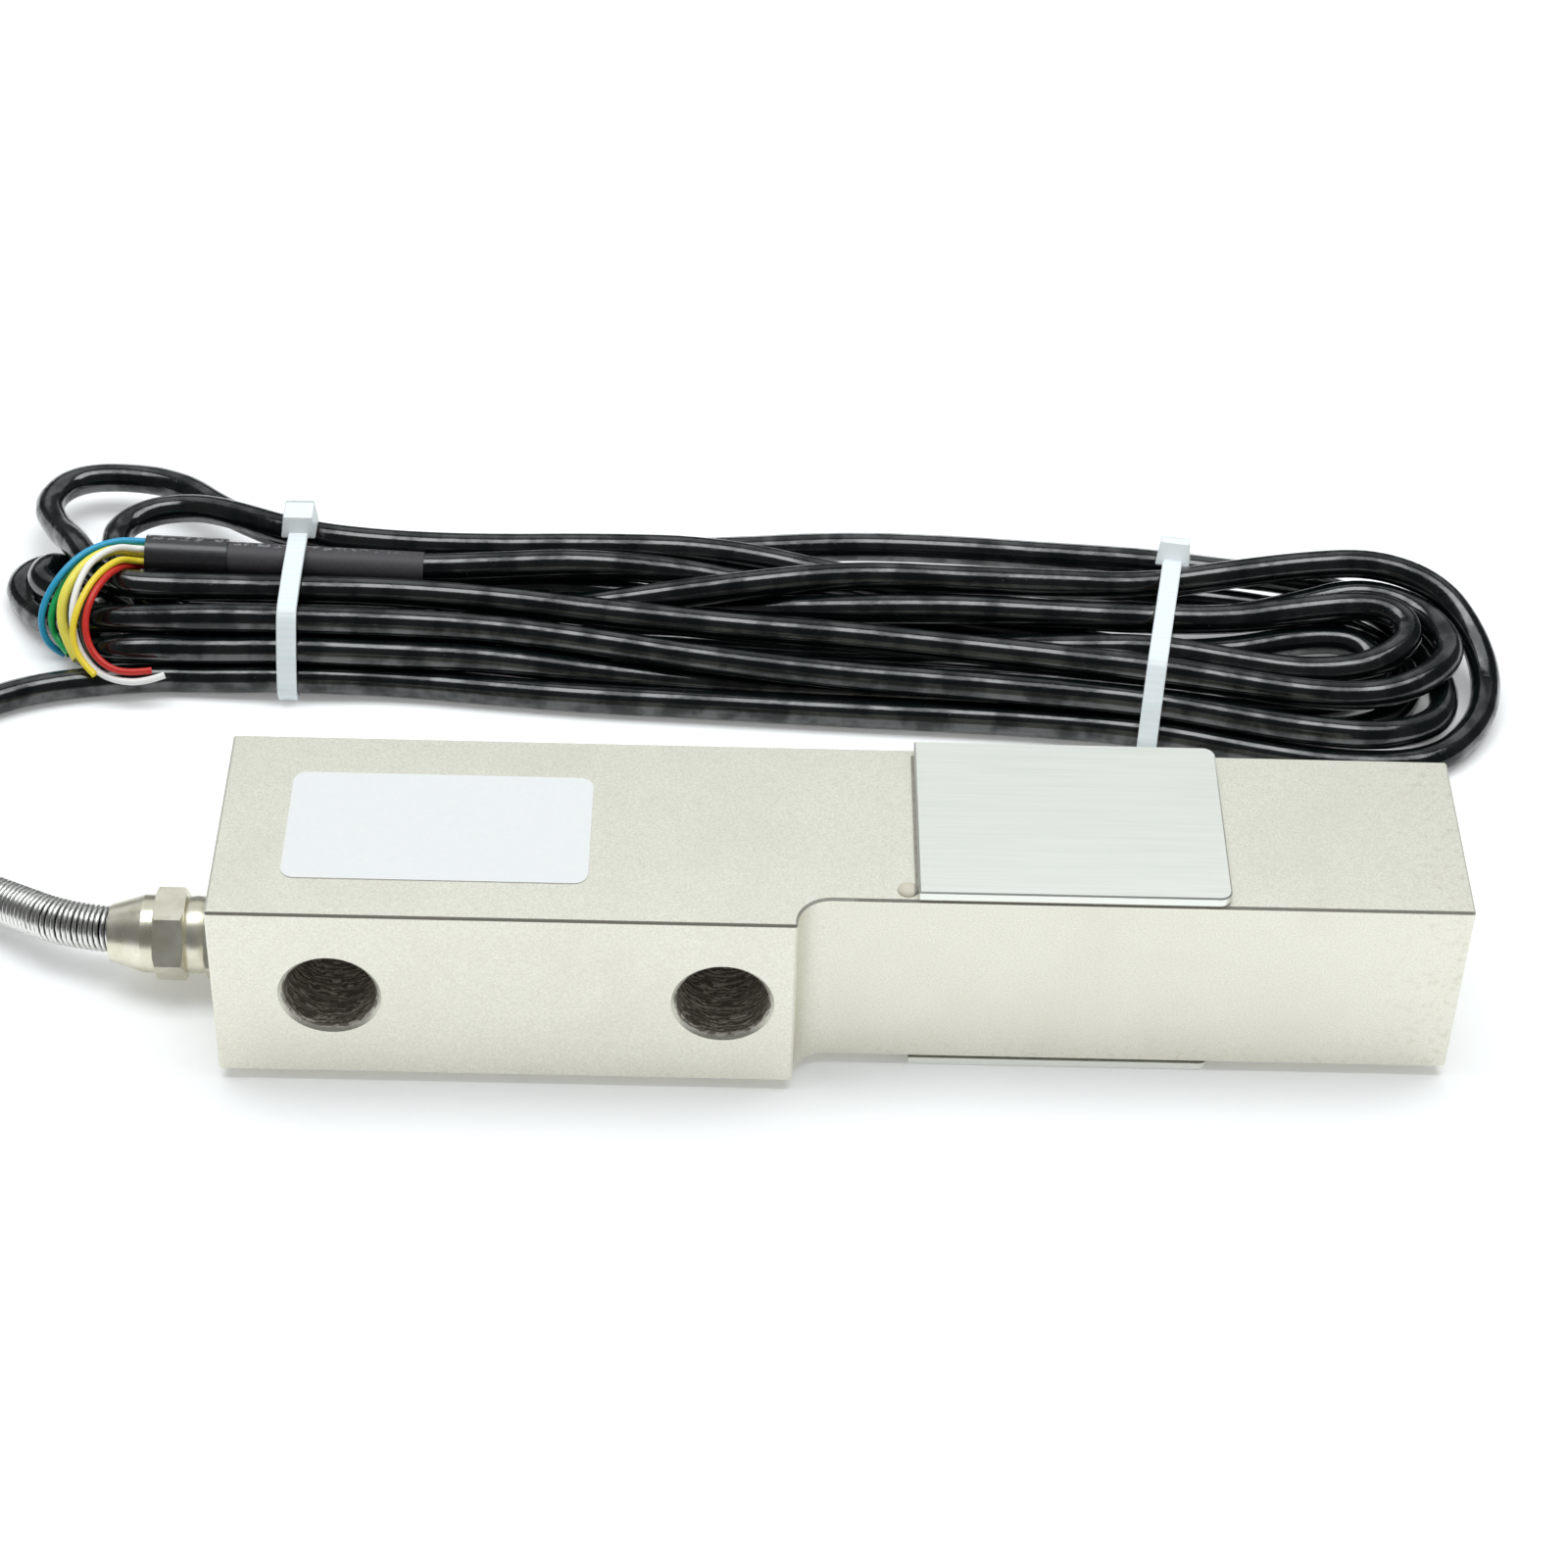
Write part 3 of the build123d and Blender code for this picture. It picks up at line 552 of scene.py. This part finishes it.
def plated_steel():
    """Satin nickel plate, with stains, painted shade along its top front edges, and bare,
    marked bolt holes.
    """
    made = Finish("plated_steel")
    axes = made.axes()
    x, y, z = axes
    grain = made.noise(3.2, 4.0)
    cloud = made.noise(0.045, 3.0, distort=0.4)
    speck = made.noise(1.7, 2.0).above(0.68, 0.04)
    tone = made.blend(grain.above(0.5, 0.24), (0.77, 0.75, 0.655), (0.92, 0.905, 0.81))
    tone = made.blend(cloud.above(0.56, 0.2) * 0.22, tone, (0.70, 0.675, 0.575))
    stains = made.noise(0.8, 5.0, distort=0.3).above(0.6, 0.1)
    low_edge = z.below(6.0, 6.0) * y.below(-9.0, 1.0) * x.above(4.0, 6.0)
    far_end = x.above(92.0, 9.0)
    tone = made.blend(stains * low_edge.higher(far_end) * 0.24, tone, (0.44, 0.385, 0.29))
    tone = made.blend(speck * 0.16, tone, (0.48, 0.45, 0.38))
    # A thin dark line painted along the top front edges of the pad and the arm: painted
    # shade of the edge break
    pad_edge_shade = y.below(pad_face + 0.35, 0.12) * z.above(beam_top - 0.4, 0.12)
    arm_edge_shade = y.below(arm_face + 0.35, 0.12) * y.above(arm_face - 0.45, 0.12)
    arm_edge_shade *= z.above(beam_top - 0.4, 0.12)
    painted_edge_shade = pad_edge_shade.higher(arm_edge_shade * x.above(2.0, 1.0) * 0.6)
    tone = made.blend(painted_edge_shade * 0.7, tone, (0.30, 0.275, 0.22))
    outer_hole, inner_hole = [
        made.ring(place, bolt_hole_height, bolt_hole_rim, axes)
        for place in bolt_hole_places
    ]
    in_hole = outer_hole.lower(inner_hole).below(0.0, 0.25)
    inside = in_hole * y.above(pad_face + 0.3, 0.3)
    wander = made.noise(0.35, 4.0, made.stretched(1.0, 2.6, 1.0))
    marks = (y * 6.5 + wander * 26.0).sine().above(0.2, 0.8) * wander.above(0.45, 0.2)
    bore_tone = made.blend(marks, (0.20, 0.175, 0.145), (0.80, 0.75, 0.67))
    tone = made.blend(inside, tone, bore_tone)
    made.set("Base Color", tone)
    made.set("Metallic", 1 - inside * 0.7)
    made.set("Roughness", 0.44 + grain * 0.12 - inside * 0.06)
    made.bump(grain, 0.02, 0.5)
    made.bump(marks * inside, 0.12, 0.6)
    return made.material


def plate_aluminium():
    """Aluminium sheet, brushed along its length."""
    made = Finish("plate_aluminium", Metallic=1.0)
    lines = made.noise(1.0, 4.0, made.stretched(0.05, 2.4, 1.0))
    cloud = made.noise(0.03, 2.0)
    tone = made.blend(lines.above(0.5, 0.3), (0.87, 0.885, 0.83), (0.94, 0.95, 0.895))
    tone = made.blend(cloud * 0.3, tone, (0.84, 0.86, 0.80))
    made.set("Base Color", tone)
    made.set("Roughness", 0.40 + lines * 0.12)
    made.bump(lines, 0.006, 0.4)
    return made.material


def cover_glue():
    """The dark glue line under a cover plate, and its paler drop."""
    made = Finish("cover_glue")
    x = made.axes()[0]
    lumps = made.noise(0.9, 3.0)
    tone = made.blend(lumps, (0.15, 0.14, 0.12), (0.46, 0.44, 0.39))
    blob = x.below(plate_left_edge - 0.7, 0.15)
    made.set("Base Color", made.blend(blob, tone, (0.60, 0.56, 0.46)))
    made.set("Roughness", 0.35 + lumps * 0.3)
    made.bump(lumps, 0.25, 0.7)
    return made.material


def label_film():
    """A bare white label."""
    made = Finish("label_film", Coat_Weight=0.25, Coat_Roughness=0.35)
    fibre = made.noise(1.4, 4.0)
    made.set("Base Color", made.blend(fibre, (0.72, 0.735, 0.74), (0.78, 0.79, 0.795)))
    made.set("Roughness", 0.45 + fibre * 0.12)
    made.bump(fibre, 0.01, 0.4)
    return made.material


def nickelled_brass():
    """Bright nickel plate over fine turning marks."""
    made = Finish("nickelled_brass", Metallic=0.85)
    x = made.axes()[0]
    turning = (x * 26.0 + made.noise(0.3, 2.0) * 3.0).sine()
    cloud = made.noise(0.25, 3.0)
    tone = made.blend(cloud.above(0.5, 0.2), (0.74, 0.70, 0.56), (0.90, 0.87, 0.75))
    made.set("Base Color", tone)
    made.set("Roughness", 0.22 + cloud * 0.16)
    made.bump(turning * 0.5 + 0.5, 0.008, 0.5)
    made.bump(made.noise(1.2, 2.0), 0.01, 0.3)
    return made.material


def spring_steel():
    """Drawn stainless wire."""
    made = Finish("spring_steel", Metallic=1.0)
    drawn = made.noise(2.0, 3.0)
    made.set("Base Color", made.blend(drawn, (0.70, 0.70, 0.68), (0.88, 0.875, 0.85)))
    made.set("Roughness", 0.22 + drawn * 0.14)
    made.bump(drawn, 0.006, 0.4)
    return made.material


def cable_jacket():
    """Black jacket, glossy in patches, with a little dust."""
    shine = {"Specular_IOR_Level": 0.2, "Coat_Roughness": 0.13, "Coat_IOR": 1.8}
    made = Finish("cable_jacket", **shine)
    waves = made.noise(0.16, 3.0)
    skin = made.noise(0.9, 3.0)
    dust = made.noise(2.6, 2.0).above(0.75, 0.012)
    tone = made.blend(skin, (0.0012, 0.0028, 0.003), (0.0035, 0.0062, 0.0064))
    made.set("Base Color", made.blend(dust * 0.4, tone, (0.20, 0.22, 0.22)))
    made.set("Coat Weight", waves.above(0.5, 0.12) * 0.75 + 0.25)
    made.set("Roughness", 0.10 + waves * 0.16 + dust * 0.3)
    made.bump(waves, 0.6, 0.6)
    made.bump(skin, 0.11, 0.75)
    return made.material


def tie_nylon():
    """Pale nylon with the fine ribs of a strap, and painted shade along them."""
    rib_pitch = 1.3
    clear = {"Transmission_Weight": 0.05, "IOR": 1.45, "Subsurface_Weight": 0.1}
    made = Finish("tie_nylon", **clear)
    cloud = made.noise(0.6, 2.0)
    settings = {"attribute_name": "along_strap"}
    along = made.node("ShaderNodeAttribute", settings, {}, "Fac")
    ribs = (along * (math.tau / rib_pitch)).sine() * 0.5 + 0.5
    tone = made.blend(cloud, (0.93, 0.965, 0.975), (0.97, 0.985, 0.99))
    # The ribs are also painted in a cooler, darker tone: painted shade along the strap's
    # ribs
    made.set("Base Color", made.blend(ribs * 0.3, tone, (0.78, 0.89, 0.93)))
    made.set("Roughness", 0.3 + cloud * 0.15)
    made.bump(ribs, 0.04, 0.4)
    made.bump(cloud, 0.05, 0.3)
    return made.material


def heat_shrink():
    """Dark matte sleeve with pale highlight specks painted along its lit top, and a
    glossier end sleeve.
    """
    made = Finish("heat_shrink", Coat_Roughness=0.25)
    x, y, z = made.axes()
    skin = made.noise(1.8, 4.0)
    # Pale specks painted along the sleeve's upper back edge: painted highlights where the
    # light falls on it
    lit_top_edge = z.above(16.15, 0.35) * y.above(98.6, 0.6)
    painted_highlight_specks = made.noise(1.1, 4.0).above(0.56, 0.05) * lit_top_edge
    end_piece = x.below(sleeve_tail_x - sleeve_length + 0.2, 0.2)
    tone = made.blend(skin, (0.040, 0.036, 0.042), (0.075, 0.069, 0.076))
    dark = made.blend(skin, (0.010, 0.010, 0.012), (0.028, 0.027, 0.030))
    tone = made.blend(end_piece, tone, dark)
    made.set("Base Color", made.blend(painted_highlight_specks * 0.45, tone, (0.55, 0.57, 0.58)))
    made.set("Coat Weight", end_piece * 0.6)
    made.set("Roughness", 0.46 + skin * 0.16 - end_piece * 0.14)
    made.bump(skin, 0.05, 0.5)
    made.bump(made.noise(0.3, 2.0), 0.2, 0.4)
    return made.material


def insulation(name, deep, pale):
    """The plastic skin of a wire."""
    made = Finish(name)
    skin = made.noise(1.2, 3.0)
    made.set("Base Color", made.blend(skin, deep, pale))
    made.set("Roughness", 0.32 + skin * 0.12)
    made.bump(skin, 0.02, 0.4)
    return made.material


def moulded(name, deep, pale, rough, per_mm=1.5, metallic=0.0):
    """A plain material between two tones, for the pieces inside."""
    made = Finish(name, Metallic=metallic)
    skin = made.noise(per_mm, 3.0)
    made.set("Base Color", made.blend(skin, deep, pale))
    made.set("Roughness", rough + skin * 0.15)
    made.bump(skin, 0.03, 0.4)
    return made.material


finishes = {
    "plated_steel": plated_steel(),
    "plate_aluminium": plate_aluminium(),
    "cover_glue": cover_glue(),
    "label_film": label_film(),
    "nickelled_brass": nickelled_brass(),
    "spring_steel": spring_steel(),
    "cable_jacket": cable_jacket(),
    "tie_nylon": tie_nylon(),
    "heat_shrink": heat_shrink(),
    "wire_blue": insulation("wire_blue", (0.015, 0.28, 0.52), (0.03, 0.40, 0.66)),
    "wire_green": insulation("wire_green", (0.004, 0.32, 0.07), (0.01, 0.44, 0.12)),
    "wire_shield": insulation("wire_shield", (0.80, 0.70, 0.05), (0.92, 0.84, 0.16)),
    "wire_white": insulation("wire_white", (0.80, 0.80, 0.78), (0.90, 0.90, 0.88)),
    "wire_black": insulation("wire_black", (0.008, 0.008, 0.008), (0.02, 0.02, 0.02)),
    "wire_yellow": insulation("wire_yellow", (0.82, 0.62, 0.02), (0.92, 0.74, 0.06)),
    "wire_red": insulation("wire_red", (0.50, 0.012, 0.008), (0.64, 0.03, 0.018)),
    "gauge_foil": moulded("gauge_foil", (0.62, 0.40, 0.14), (0.78, 0.56, 0.24), 0.35),
    "board": moulded("board", (0.05, 0.22, 0.10), (0.12, 0.36, 0.18), 0.45),
    "resistor": moulded("resistor", (0.03, 0.03, 0.035), (0.08, 0.08, 0.09), 0.5),
    "enamelled_copper": moulded(
        "enamelled_copper", (0.60, 0.24, 0.12), (0.76, 0.38, 0.2), 0.3, 2.0, 1.0
    ),
    "core_jackets": moulded("core_jackets", (0.2, 0.2, 0.22), (0.34, 0.34, 0.36), 0.4),
    "potting_gel": moulded("potting_gel", (0.52, 0.5, 0.43), (0.66, 0.64, 0.58), 0.25),
    "black_rubber": moulded(
        "black_rubber", (0.015, 0.015, 0.015), (0.04, 0.04, 0.04), 0.6
    ),
    "nylon_ring": moulded("nylon_ring", (0.66, 0.65, 0.6), (0.78, 0.77, 0.72), 0.4),
}


def dress(piece, finish):
    """Gives a piece one of the finishes and no other."""
    piece.data.materials.clear()
    piece.data.materials.append(finishes[finish])


node_finishes = {
    "beam_body": "plated_steel",
    "upper_cover_bead": "cover_glue",
    "lower_cover_bead": "cover_glue",
    "upper_cover_plate": "plate_aluminium",
    "lower_cover_plate": "plate_aluminium",
    "rating_label": "label_film",
    "upper_strain_gauge": "gauge_foil",
    "lower_strain_gauge": "gauge_foil",
    "upper_terminal_board": "board",
    "lower_terminal_board": "board",
    "trim_resistors": "resistor",
    "bridge_leads": "enamelled_copper",
    "core_bundle": "core_jackets",
    "core_leads": "core_jackets",
    "upper_potting": "potting_gel",
    "lower_potting": "potting_gel",
    "gland_body": "nickelled_brass",
    "cap_nut": "nickelled_brass",
    "gland_o_ring": "black_rubber",
    "gland_seal": "black_rubber",
    "clamp_ring": "nylon_ring",
    "strain_relief_spring": "spring_steel",
    "cable_lead": "cable_jacket",
    "cable_hank": "cable_jacket",
    "cable_tie_left": "tie_nylon",
    "cable_tie_right": "tie_nylon",
    "heat_shrink_long": "heat_shrink",
    "heat_shrink_end": "heat_shrink",
    "wire_blue": "wire_blue",
    "wire_green": "wire_green",
    "wire_shield_sleeve": "wire_shield",
    "wire_white": "wire_white",
    "wire_black": "wire_black",
    "wire_yellow": "wire_yellow",
    "wire_red": "wire_red",
}
for node, finish in node_finishes.items():
    dress(nodes[node], finish)


# Guard spring


def node_tree(name, numbers):
    """An empty geometry tree with named number inputs, and its first and last nodes."""
    tree = bpy.data.node_groups.new(name, "GeometryNodeTree")
    face = tree.interface
    face.new_socket("Geometry", in_out="INPUT", socket_type="NodeSocketGeometry")
    for label, value in numbers.items():
        socket = face.new_socket(label, in_out="INPUT", socket_type="NodeSocketFloat")
        socket.default_value = value
    face.new_socket("Geometry", in_out="OUTPUT", socket_type="NodeSocketGeometry")
    start = tree.nodes.new("NodeGroupInput")
    end = tree.nodes.new("NodeGroupOutput")
    return tree, start, end


def add(tree, kind, inputs, **settings):
    """A new node with its settings, and its inputs joined to sockets or set to values."""
    made = tree.nodes.new(kind)
    for setting, value in settings.items():
        setattr(made, setting, value)
    for socket, value in inputs.items():
        if isinstance(value, bpy.types.NodeSocket):
            tree.links.new(value, made.inputs[socket])
        else:
            made.inputs[socket].default_value = value
    return made


def grown(name, carrier, tree, sizes, finish):
    """The plain mesh that a geometry tree makes from a carrier object."""
    modifier = carrier.modifiers.new(name, "NODES")
    modifier.node_group = tree
    for item in tree.interface.items_tree:
        if item.item_type == "SOCKET" and item.in_out == "INPUT" and item.name in sizes:
            modifier[item.identifier] = sizes[item.name]
    graph = bpy.context.evaluated_depsgraph_get()
    mesh = bpy.data.meshes.new_from_object(carrier.evaluated_get(graph))
    mesh.name = name
    made = bpy.data.objects.new(name, mesh)
    scene.collection.objects.link(made)
    carrier.modifiers.remove(modifier)
    dress(made, finish)
    mesh.polygons.foreach_set("use_smooth", [True] * len(mesh.polygons))
    return made


def polyline(name, points):
    """A bare line through points in millimetres, to carry a geometry tree."""
    mesh = bpy.data.meshes.new(name)
    edges = [(i, i + 1) for i in range(len(points) - 1)]
    mesh.from_pydata([Vector(point) * mm for point in points], edges, [])
    line = bpy.data.objects.new(name, mesh)
    scene.collection.objects.link(line)
    return line


def spring_tree(sizes):
    """Winds a round wire round a line."""
    tree, start, end = node_tree("wound_spring", sizes)
    given = start.outputs
    line = add(tree, "GeometryNodeMeshToCurve", {"Mesh": given["Geometry"]})
    inputs = {"Curve": line.outputs[0], "Count": given["Steps"]}
    line = add(tree, "GeometryNodeResampleCurve", inputs)
    line = add(tree, "GeometryNodeSetCurveNormal", {"Curve": line.outputs[0]})
    index = add(tree, "GeometryNodeInputIndex", {})
    inputs = {0: index.outputs[0], 1: given["Step turn"]}
    angle = add(tree, "ShaderNodeMath", inputs, operation="MULTIPLY")
    normal = add(tree, "GeometryNodeInputNormal", {})
    tangent = add(tree, "GeometryNodeInputTangent", {})
    inputs = {
        "Vector": normal.outputs[0],
        "Axis": tangent.outputs[0],
        "Angle": angle.outputs[0],
    }
    turned = add(tree, "ShaderNodeVectorRotate", inputs, rotation_type="AXIS_ANGLE")
    inputs = {0: turned.outputs[0], "Scale": given["Coil radius"]}
    offset = add(tree, "ShaderNodeVectorMath", inputs, operation="SCALE")
    inputs = {"Geometry": line.outputs[0], "Offset": offset.outputs[0]}
    helix = add(tree, "GeometryNodeSetPosition", inputs)
    inputs = {"Resolution": 8, "Radius": given["Wire radius"]}
    section = add(tree, "GeometryNodeCurvePrimitiveCircle", inputs)
    inputs = {
        "Curve": helix.outputs[0],
        "Profile Curve": section.outputs[0],
        "Fill Caps": True,
    }
    wire = add(tree, "GeometryNodeCurveToMesh", inputs)
    real = add(tree, "GeometryNodeRealizeInstances", {"Geometry": wire.outputs[0]})
    inputs = {"Geometry": real.outputs[0], "Material": finishes["spring_steel"]}
    dressed = add(tree, "GeometryNodeSetMaterial", inputs)
    tree.links.new(dressed.outputs[0], end.inputs[0])
    return tree


def along_cable(start, stop, step):
    """Evenly spaced points of the cable's middle line between two distances."""
    marks = np.arange(start, stop + step / 2, step)
    axes = [np.interp(marks, cable_distance, cable_line[:, axis]) for axis in range(3)]
    return np.stack(axes, axis=1)


spring_begin = jacket_end_x - spring_start_x
spring_line = along_cable(spring_begin, spring_begin + spring_length, 1.0)
spring_axis = polyline("spring_axis", spring_line)
turns = 61
steps_per_turn = 14
spring_sizes = {
    "Coil radius": spring_radius * mm,
    "Wire radius": spring_wire / 2 * mm,
    "Steps": float(turns * steps_per_turn),
    "Step turn": math.tau / steps_per_turn,
}
spring_maker = spring_tree(spring_sizes)
spring = grown("guard_spring", spring_axis, spring_maker, spring_sizes, "spring_steel")
bpy.data.objects.remove(spring_axis)


# Cable ties


def hull(points):
    """The outline that a strap pulled tight round flat points would take."""
    points = sorted(map(tuple, points))

    def half(ordered):
        """One side of the outline, without its last point."""
        chain = []
        for p in ordered:
            while len(chain) > 1:
                (ax, ay), (bx, by) = chain[-2], chain[-1]
                if (bx - ax) * (p[1] - ay) - (by - ay) * (p[0] - ax) > 0:
                    break
                chain.pop()
            chain.append(p)
        return chain[:-1]

    return half(points) + half(reversed(points))


def cut_through(x, slant):
    """Where the hank's passes go through a slanted upright plane, and that plane."""
    turn = math.radians(slant)
    normal = np.array([math.cos(turn), math.sin(turn), 0])
    middle = np.array([x, hank_middle_y, 0])
    along = np.array([-math.sin(turn), math.cos(turn), 0])
    side = (cable_line - middle) @ normal
    found = []
    for i in np.nonzero(side[:-1] * side[1:] < 0)[0]:
        part = side[i] / (side[i] - side[i + 1])
        point = cable_line[i] + part * (cable_line[i + 1] - cable_line[i])
        in_hank = abs(point[1] - 90) < 45 and point[0] > -125
        if in_hank:
            found.append(((point - middle) @ along, point[2]))
    return found, middle, along, normal


def add_block(mesh, middle, sides, sizes, narrow=1.0):
    """A block with its own three directions, in millimetres, narrower at its top."""
    corners = []
    for up in (-1, 1):
        slim = narrow if up > 0 else 1.0
        for a, b in ((-1, -1), (1, -1), (1, 1), (-1, 1)):
            place = middle + sides[0] * (a * slim * sizes[0] / 2)
            place = place + sides[1] * (b * slim * sizes[1] / 2)
            place = place + sides[2] * (up * sizes[2] / 2)
            corners.append(mesh.verts.new(Vector(place) * mm))
    bottom, top = (0, 3, 2, 1), (4, 5, 6, 7)
    quads = (bottom, top, (0, 1, 5, 4), (1, 2, 6, 5), (2, 3, 7, 6), (3, 0, 4, 7))
    return [mesh.faces.new([corners[i] for i in quad]) for quad in quads]


def make_tie(name, x, slant, head_y):
    """A cable tie pulled round the hank, with its head on top and its trimmed tail."""
    clearance = 0.1
    stations = 160
    head_height = tie_head_size[2]
    rim, well_depth, taper = 1.3, 0.7, 0.84
    tail_size = (strap_width, 2.4, strap_thickness)
    tail_height, tail_place = 2.7, 4.2
    found, middle, along, normal = cut_through(x, slant)
    dots = []
    for across, height in found:
        in_sleeve = x < 0 and abs(height - sleeve_height_at_tie) < 1.2
        reach = (sleeve_radius if in_sleeve else cable_radius) + clearance
        for angle in np.arange(24) * math.tau / 24:
            dot = (across + reach * math.cos(angle), height + reach * math.sin(angle))
            dots.append(dot)
    outline = np.array(hull(dots))
    outline[:, 1] = np.maximum(outline[:, 1], strap_thickness)
    closed = np.vstack((outline, outline[:1]))
    lengths = np.linalg.norm(np.diff(closed, axis=0), axis=1)
    distance = np.concatenate(([0], np.cumsum(lengths)))
    marks = np.linspace(0, distance[-1], stations + 1)[:-1]
    inner = np.stack([np.interp(marks, distance, closed[:, a]) for a in (0, 1)], 1)
    ahead = np.roll(inner, -1, 0) - np.roll(inner, 1, 0)
    ahead /= np.linalg.norm(ahead, axis=1)[:, None]
    out = np.stack((ahead[:, 1], -ahead[:, 0]), 1)
    outer = inner + out * strap_thickness
    mesh = bmesh.new()
    rows = []
    for flat, side in ((inner, -0.5), (outer, -0.5), (outer, 0.5), (inner, 0.5)):
        offset = normal * (side * strap_width)
        ring = [middle + along * a + np.array([0, 0, max(h, 0.02)]) for a, h in flat]
        rows.append([mesh.verts.new(Vector(point + offset) * mm) for point in ring])
    for first, second in zip(rows, rows[1:] + rows[:1]):
        for i in range(len(inner)):
            j = (i + 1) % len(inner)
            mesh.faces.new((first[i], first[j], second[j], second[i]))
    band = len(mesh.verts)
    wanted = (head_y - middle[1]) / along[1]
    on_top = np.where(out[:, 1] > 0.3, abs(inner[:, 0] - wanted), 1e6)
    seat = int(np.argmin(on_top))
    run = along * ahead[seat][0] + np.array([0, 0, ahead[seat][1]])
    lift = along * out[seat][0] + np.array([0, 0, out[seat][1]])
    base = middle + along * inner[seat][0] + np.array([0, 0, inner[seat][1]])
    toward_back = run if run[1] > 0 else -run
    head_middle = base + lift * (head_height / 2)
    head = add_block(mesh, head_middle, (normal, run, lift), tie_head_size, taper)
    top = head[1]
    bmesh.ops.inset_region(mesh, faces=[top], thickness=rim * mm, depth=0.0)
    bmesh.ops.translate(mesh, verts=top.verts, vec=Vector(lift) * (-well_depth * mm))
    tail_middle = base + lift * tail_height + toward_back * tail_place
    add_block(mesh, tail_middle, (normal, toward_back, lift), tail_size)
    bmesh.ops.recalc_face_normals(mesh, faces=mesh.faces)
    data = bpy.data.meshes.new(name)
    mesh.to_mesh(data)
    mesh.free()
    shares = data.attributes.new("along_strap", "FLOAT", "POINT")
    values = np.concatenate((np.tile(marks, 4), np.zeros(len(data.vertices) - band)))
    shares.data.foreach_set("value", values)
    tie = bpy.data.objects.new(name, data)
    scene.collection.objects.link(tie)
    edge = tie.modifiers.new("rounded", "BEVEL")
    edge.width = 0.3 * mm
    edge.segments = 2
    edge.limit_method = "ANGLE"
    graph = bpy.context.evaluated_depsgraph_get()
    plain = bpy.data.meshes.new_from_object(tie.evaluated_get(graph))
    tie.modifiers.remove(edge)
    tie.data = plain
    dress(tie, "tie_nylon")
    return tie


left_tie = make_tie("tie_left", left_tie_x, left_tie_slant, left_head_y)
right_tie = make_tie("tie_right", right_tie_x, right_tie_slant, right_head_y)


# Riding and replacing

for piece in [cable, spring, left_tie, right_tie, *wires.values()]:
    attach(piece, "root")

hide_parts("cable_lead", "cable_hank")
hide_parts("strain_relief_spring")
cable.data.materials.append(finishes["cable_jacket"])
for tie, node in ((left_tie, "cable_tie_left"), (right_tie, "cable_tie_right")):
    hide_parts(node)
for name, wire in wires.items():
    finish = node_finishes[name]
    wire.data.materials.append(finishes[finish])
    wire.name = name + "_core"
    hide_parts(name)

for name, wire in wires.items():
    line, distance = centre_line(wire)


# Floor and light

floor_reach = 4.0
floor_mesh = bpy.data.meshes.new("floor")
floor_mesh.from_pydata(
    [
        (-floor_reach, -floor_reach, 0),
        (floor_reach, -floor_reach, 0),
        (floor_reach, floor_reach, 0),
        (-floor_reach, floor_reach, 0),
    ],
    [],
    [(0, 1, 2, 3)],
)
floor = bpy.data.objects.new("floor", floor_mesh)
scene.collection.objects.link(floor)

# The paper glows a little where the camera or a shiny surface sees it, to stay white
floor_glow = 0.16
floor_material = bpy.data.materials.new("floor_paper")
floor_material.use_nodes = True
tree = floor_material.node_tree
tree.nodes.clear()
paper = add(tree, "ShaderNodeBsdfDiffuse", {"Color": (0.93, 0.945, 0.95, 1)})
rays = add(tree, "ShaderNodeLightPath", {}).outputs
inputs = {0: rays["Is Camera Ray"], 1: rays["Is Glossy Ray"]}
seen = add(tree, "ShaderNodeMath", inputs, operation="MAXIMUM")
inputs = {0: seen.outputs[0], 1: floor_glow}
level = add(tree, "ShaderNodeMath", inputs, operation="MULTIPLY")
inputs = {"Color": (1, 1, 1, 1), "Strength": level.outputs[0]}
glow = add(tree, "ShaderNodeEmission", inputs)
both = add(tree, "ShaderNodeAddShader", {0: paper.outputs[0], 1: glow.outputs[0]})
add(tree, "ShaderNodeOutputMaterial", {0: both.outputs[0]})
floor_mesh.materials.append(floor_material)

# The room is white to the camera, lights the part at half that, and is dim in mirrors
world = bpy.data.worlds.new("studio")
world.use_nodes = True
scene.world = world
sky = world.node_tree
sky.nodes.clear()
rays = add(sky, "ShaderNodeLightPath", {}).outputs
inputs = {0: rays["Is Camera Ray"], 1: rays["Is Transmission Ray"]}
seen = add(sky, "ShaderNodeMath", inputs, operation="MAXIMUM")
inputs = {"Value": rays["Is Glossy Ray"], "To Min": 0.50, "To Max": 0.12}
mirrored = add(sky, "ShaderNodeMapRange", inputs)
inputs = {"Value": seen.outputs[0], "To Min": mirrored.outputs[0], "To Max": 1.0}
strength = add(sky, "ShaderNodeMapRange", inputs)
ambient = add(sky, "ShaderNodeBackground", {"Strength": strength.outputs[0]})
add(sky, "ShaderNodeOutputWorld", {0: ambient.outputs[0]})


def softbox(name, place, target, size, power):
    """A wide lamp at a place, turned to a target, in metres and watts."""
    lamp = bpy.data.lights.new(name, "AREA")
    lamp.color = (0.95, 0.99, 1.0)
    lamp.shape = "RECTANGLE"
    lamp.size, lamp.size_y = size
    lamp.energy = power
    box = bpy.data.objects.new(name, lamp)
    box.location = place
    box.rotation_mode = "QUATERNION"
    box.rotation_quaternion = (Vector(target) - Vector(place)).to_track_quat("-Z", "Y")
    scene.collection.objects.link(box)


softbox("overhead", (0.0, 0.12, 1.2), (0, 0.04, 0), (1.6, 0.6), 12.5)
softbox("back_panel", (0.0, 1.35, 1.2), (0, 0.0, 0.02), (3.0, 1.2), 7.5)
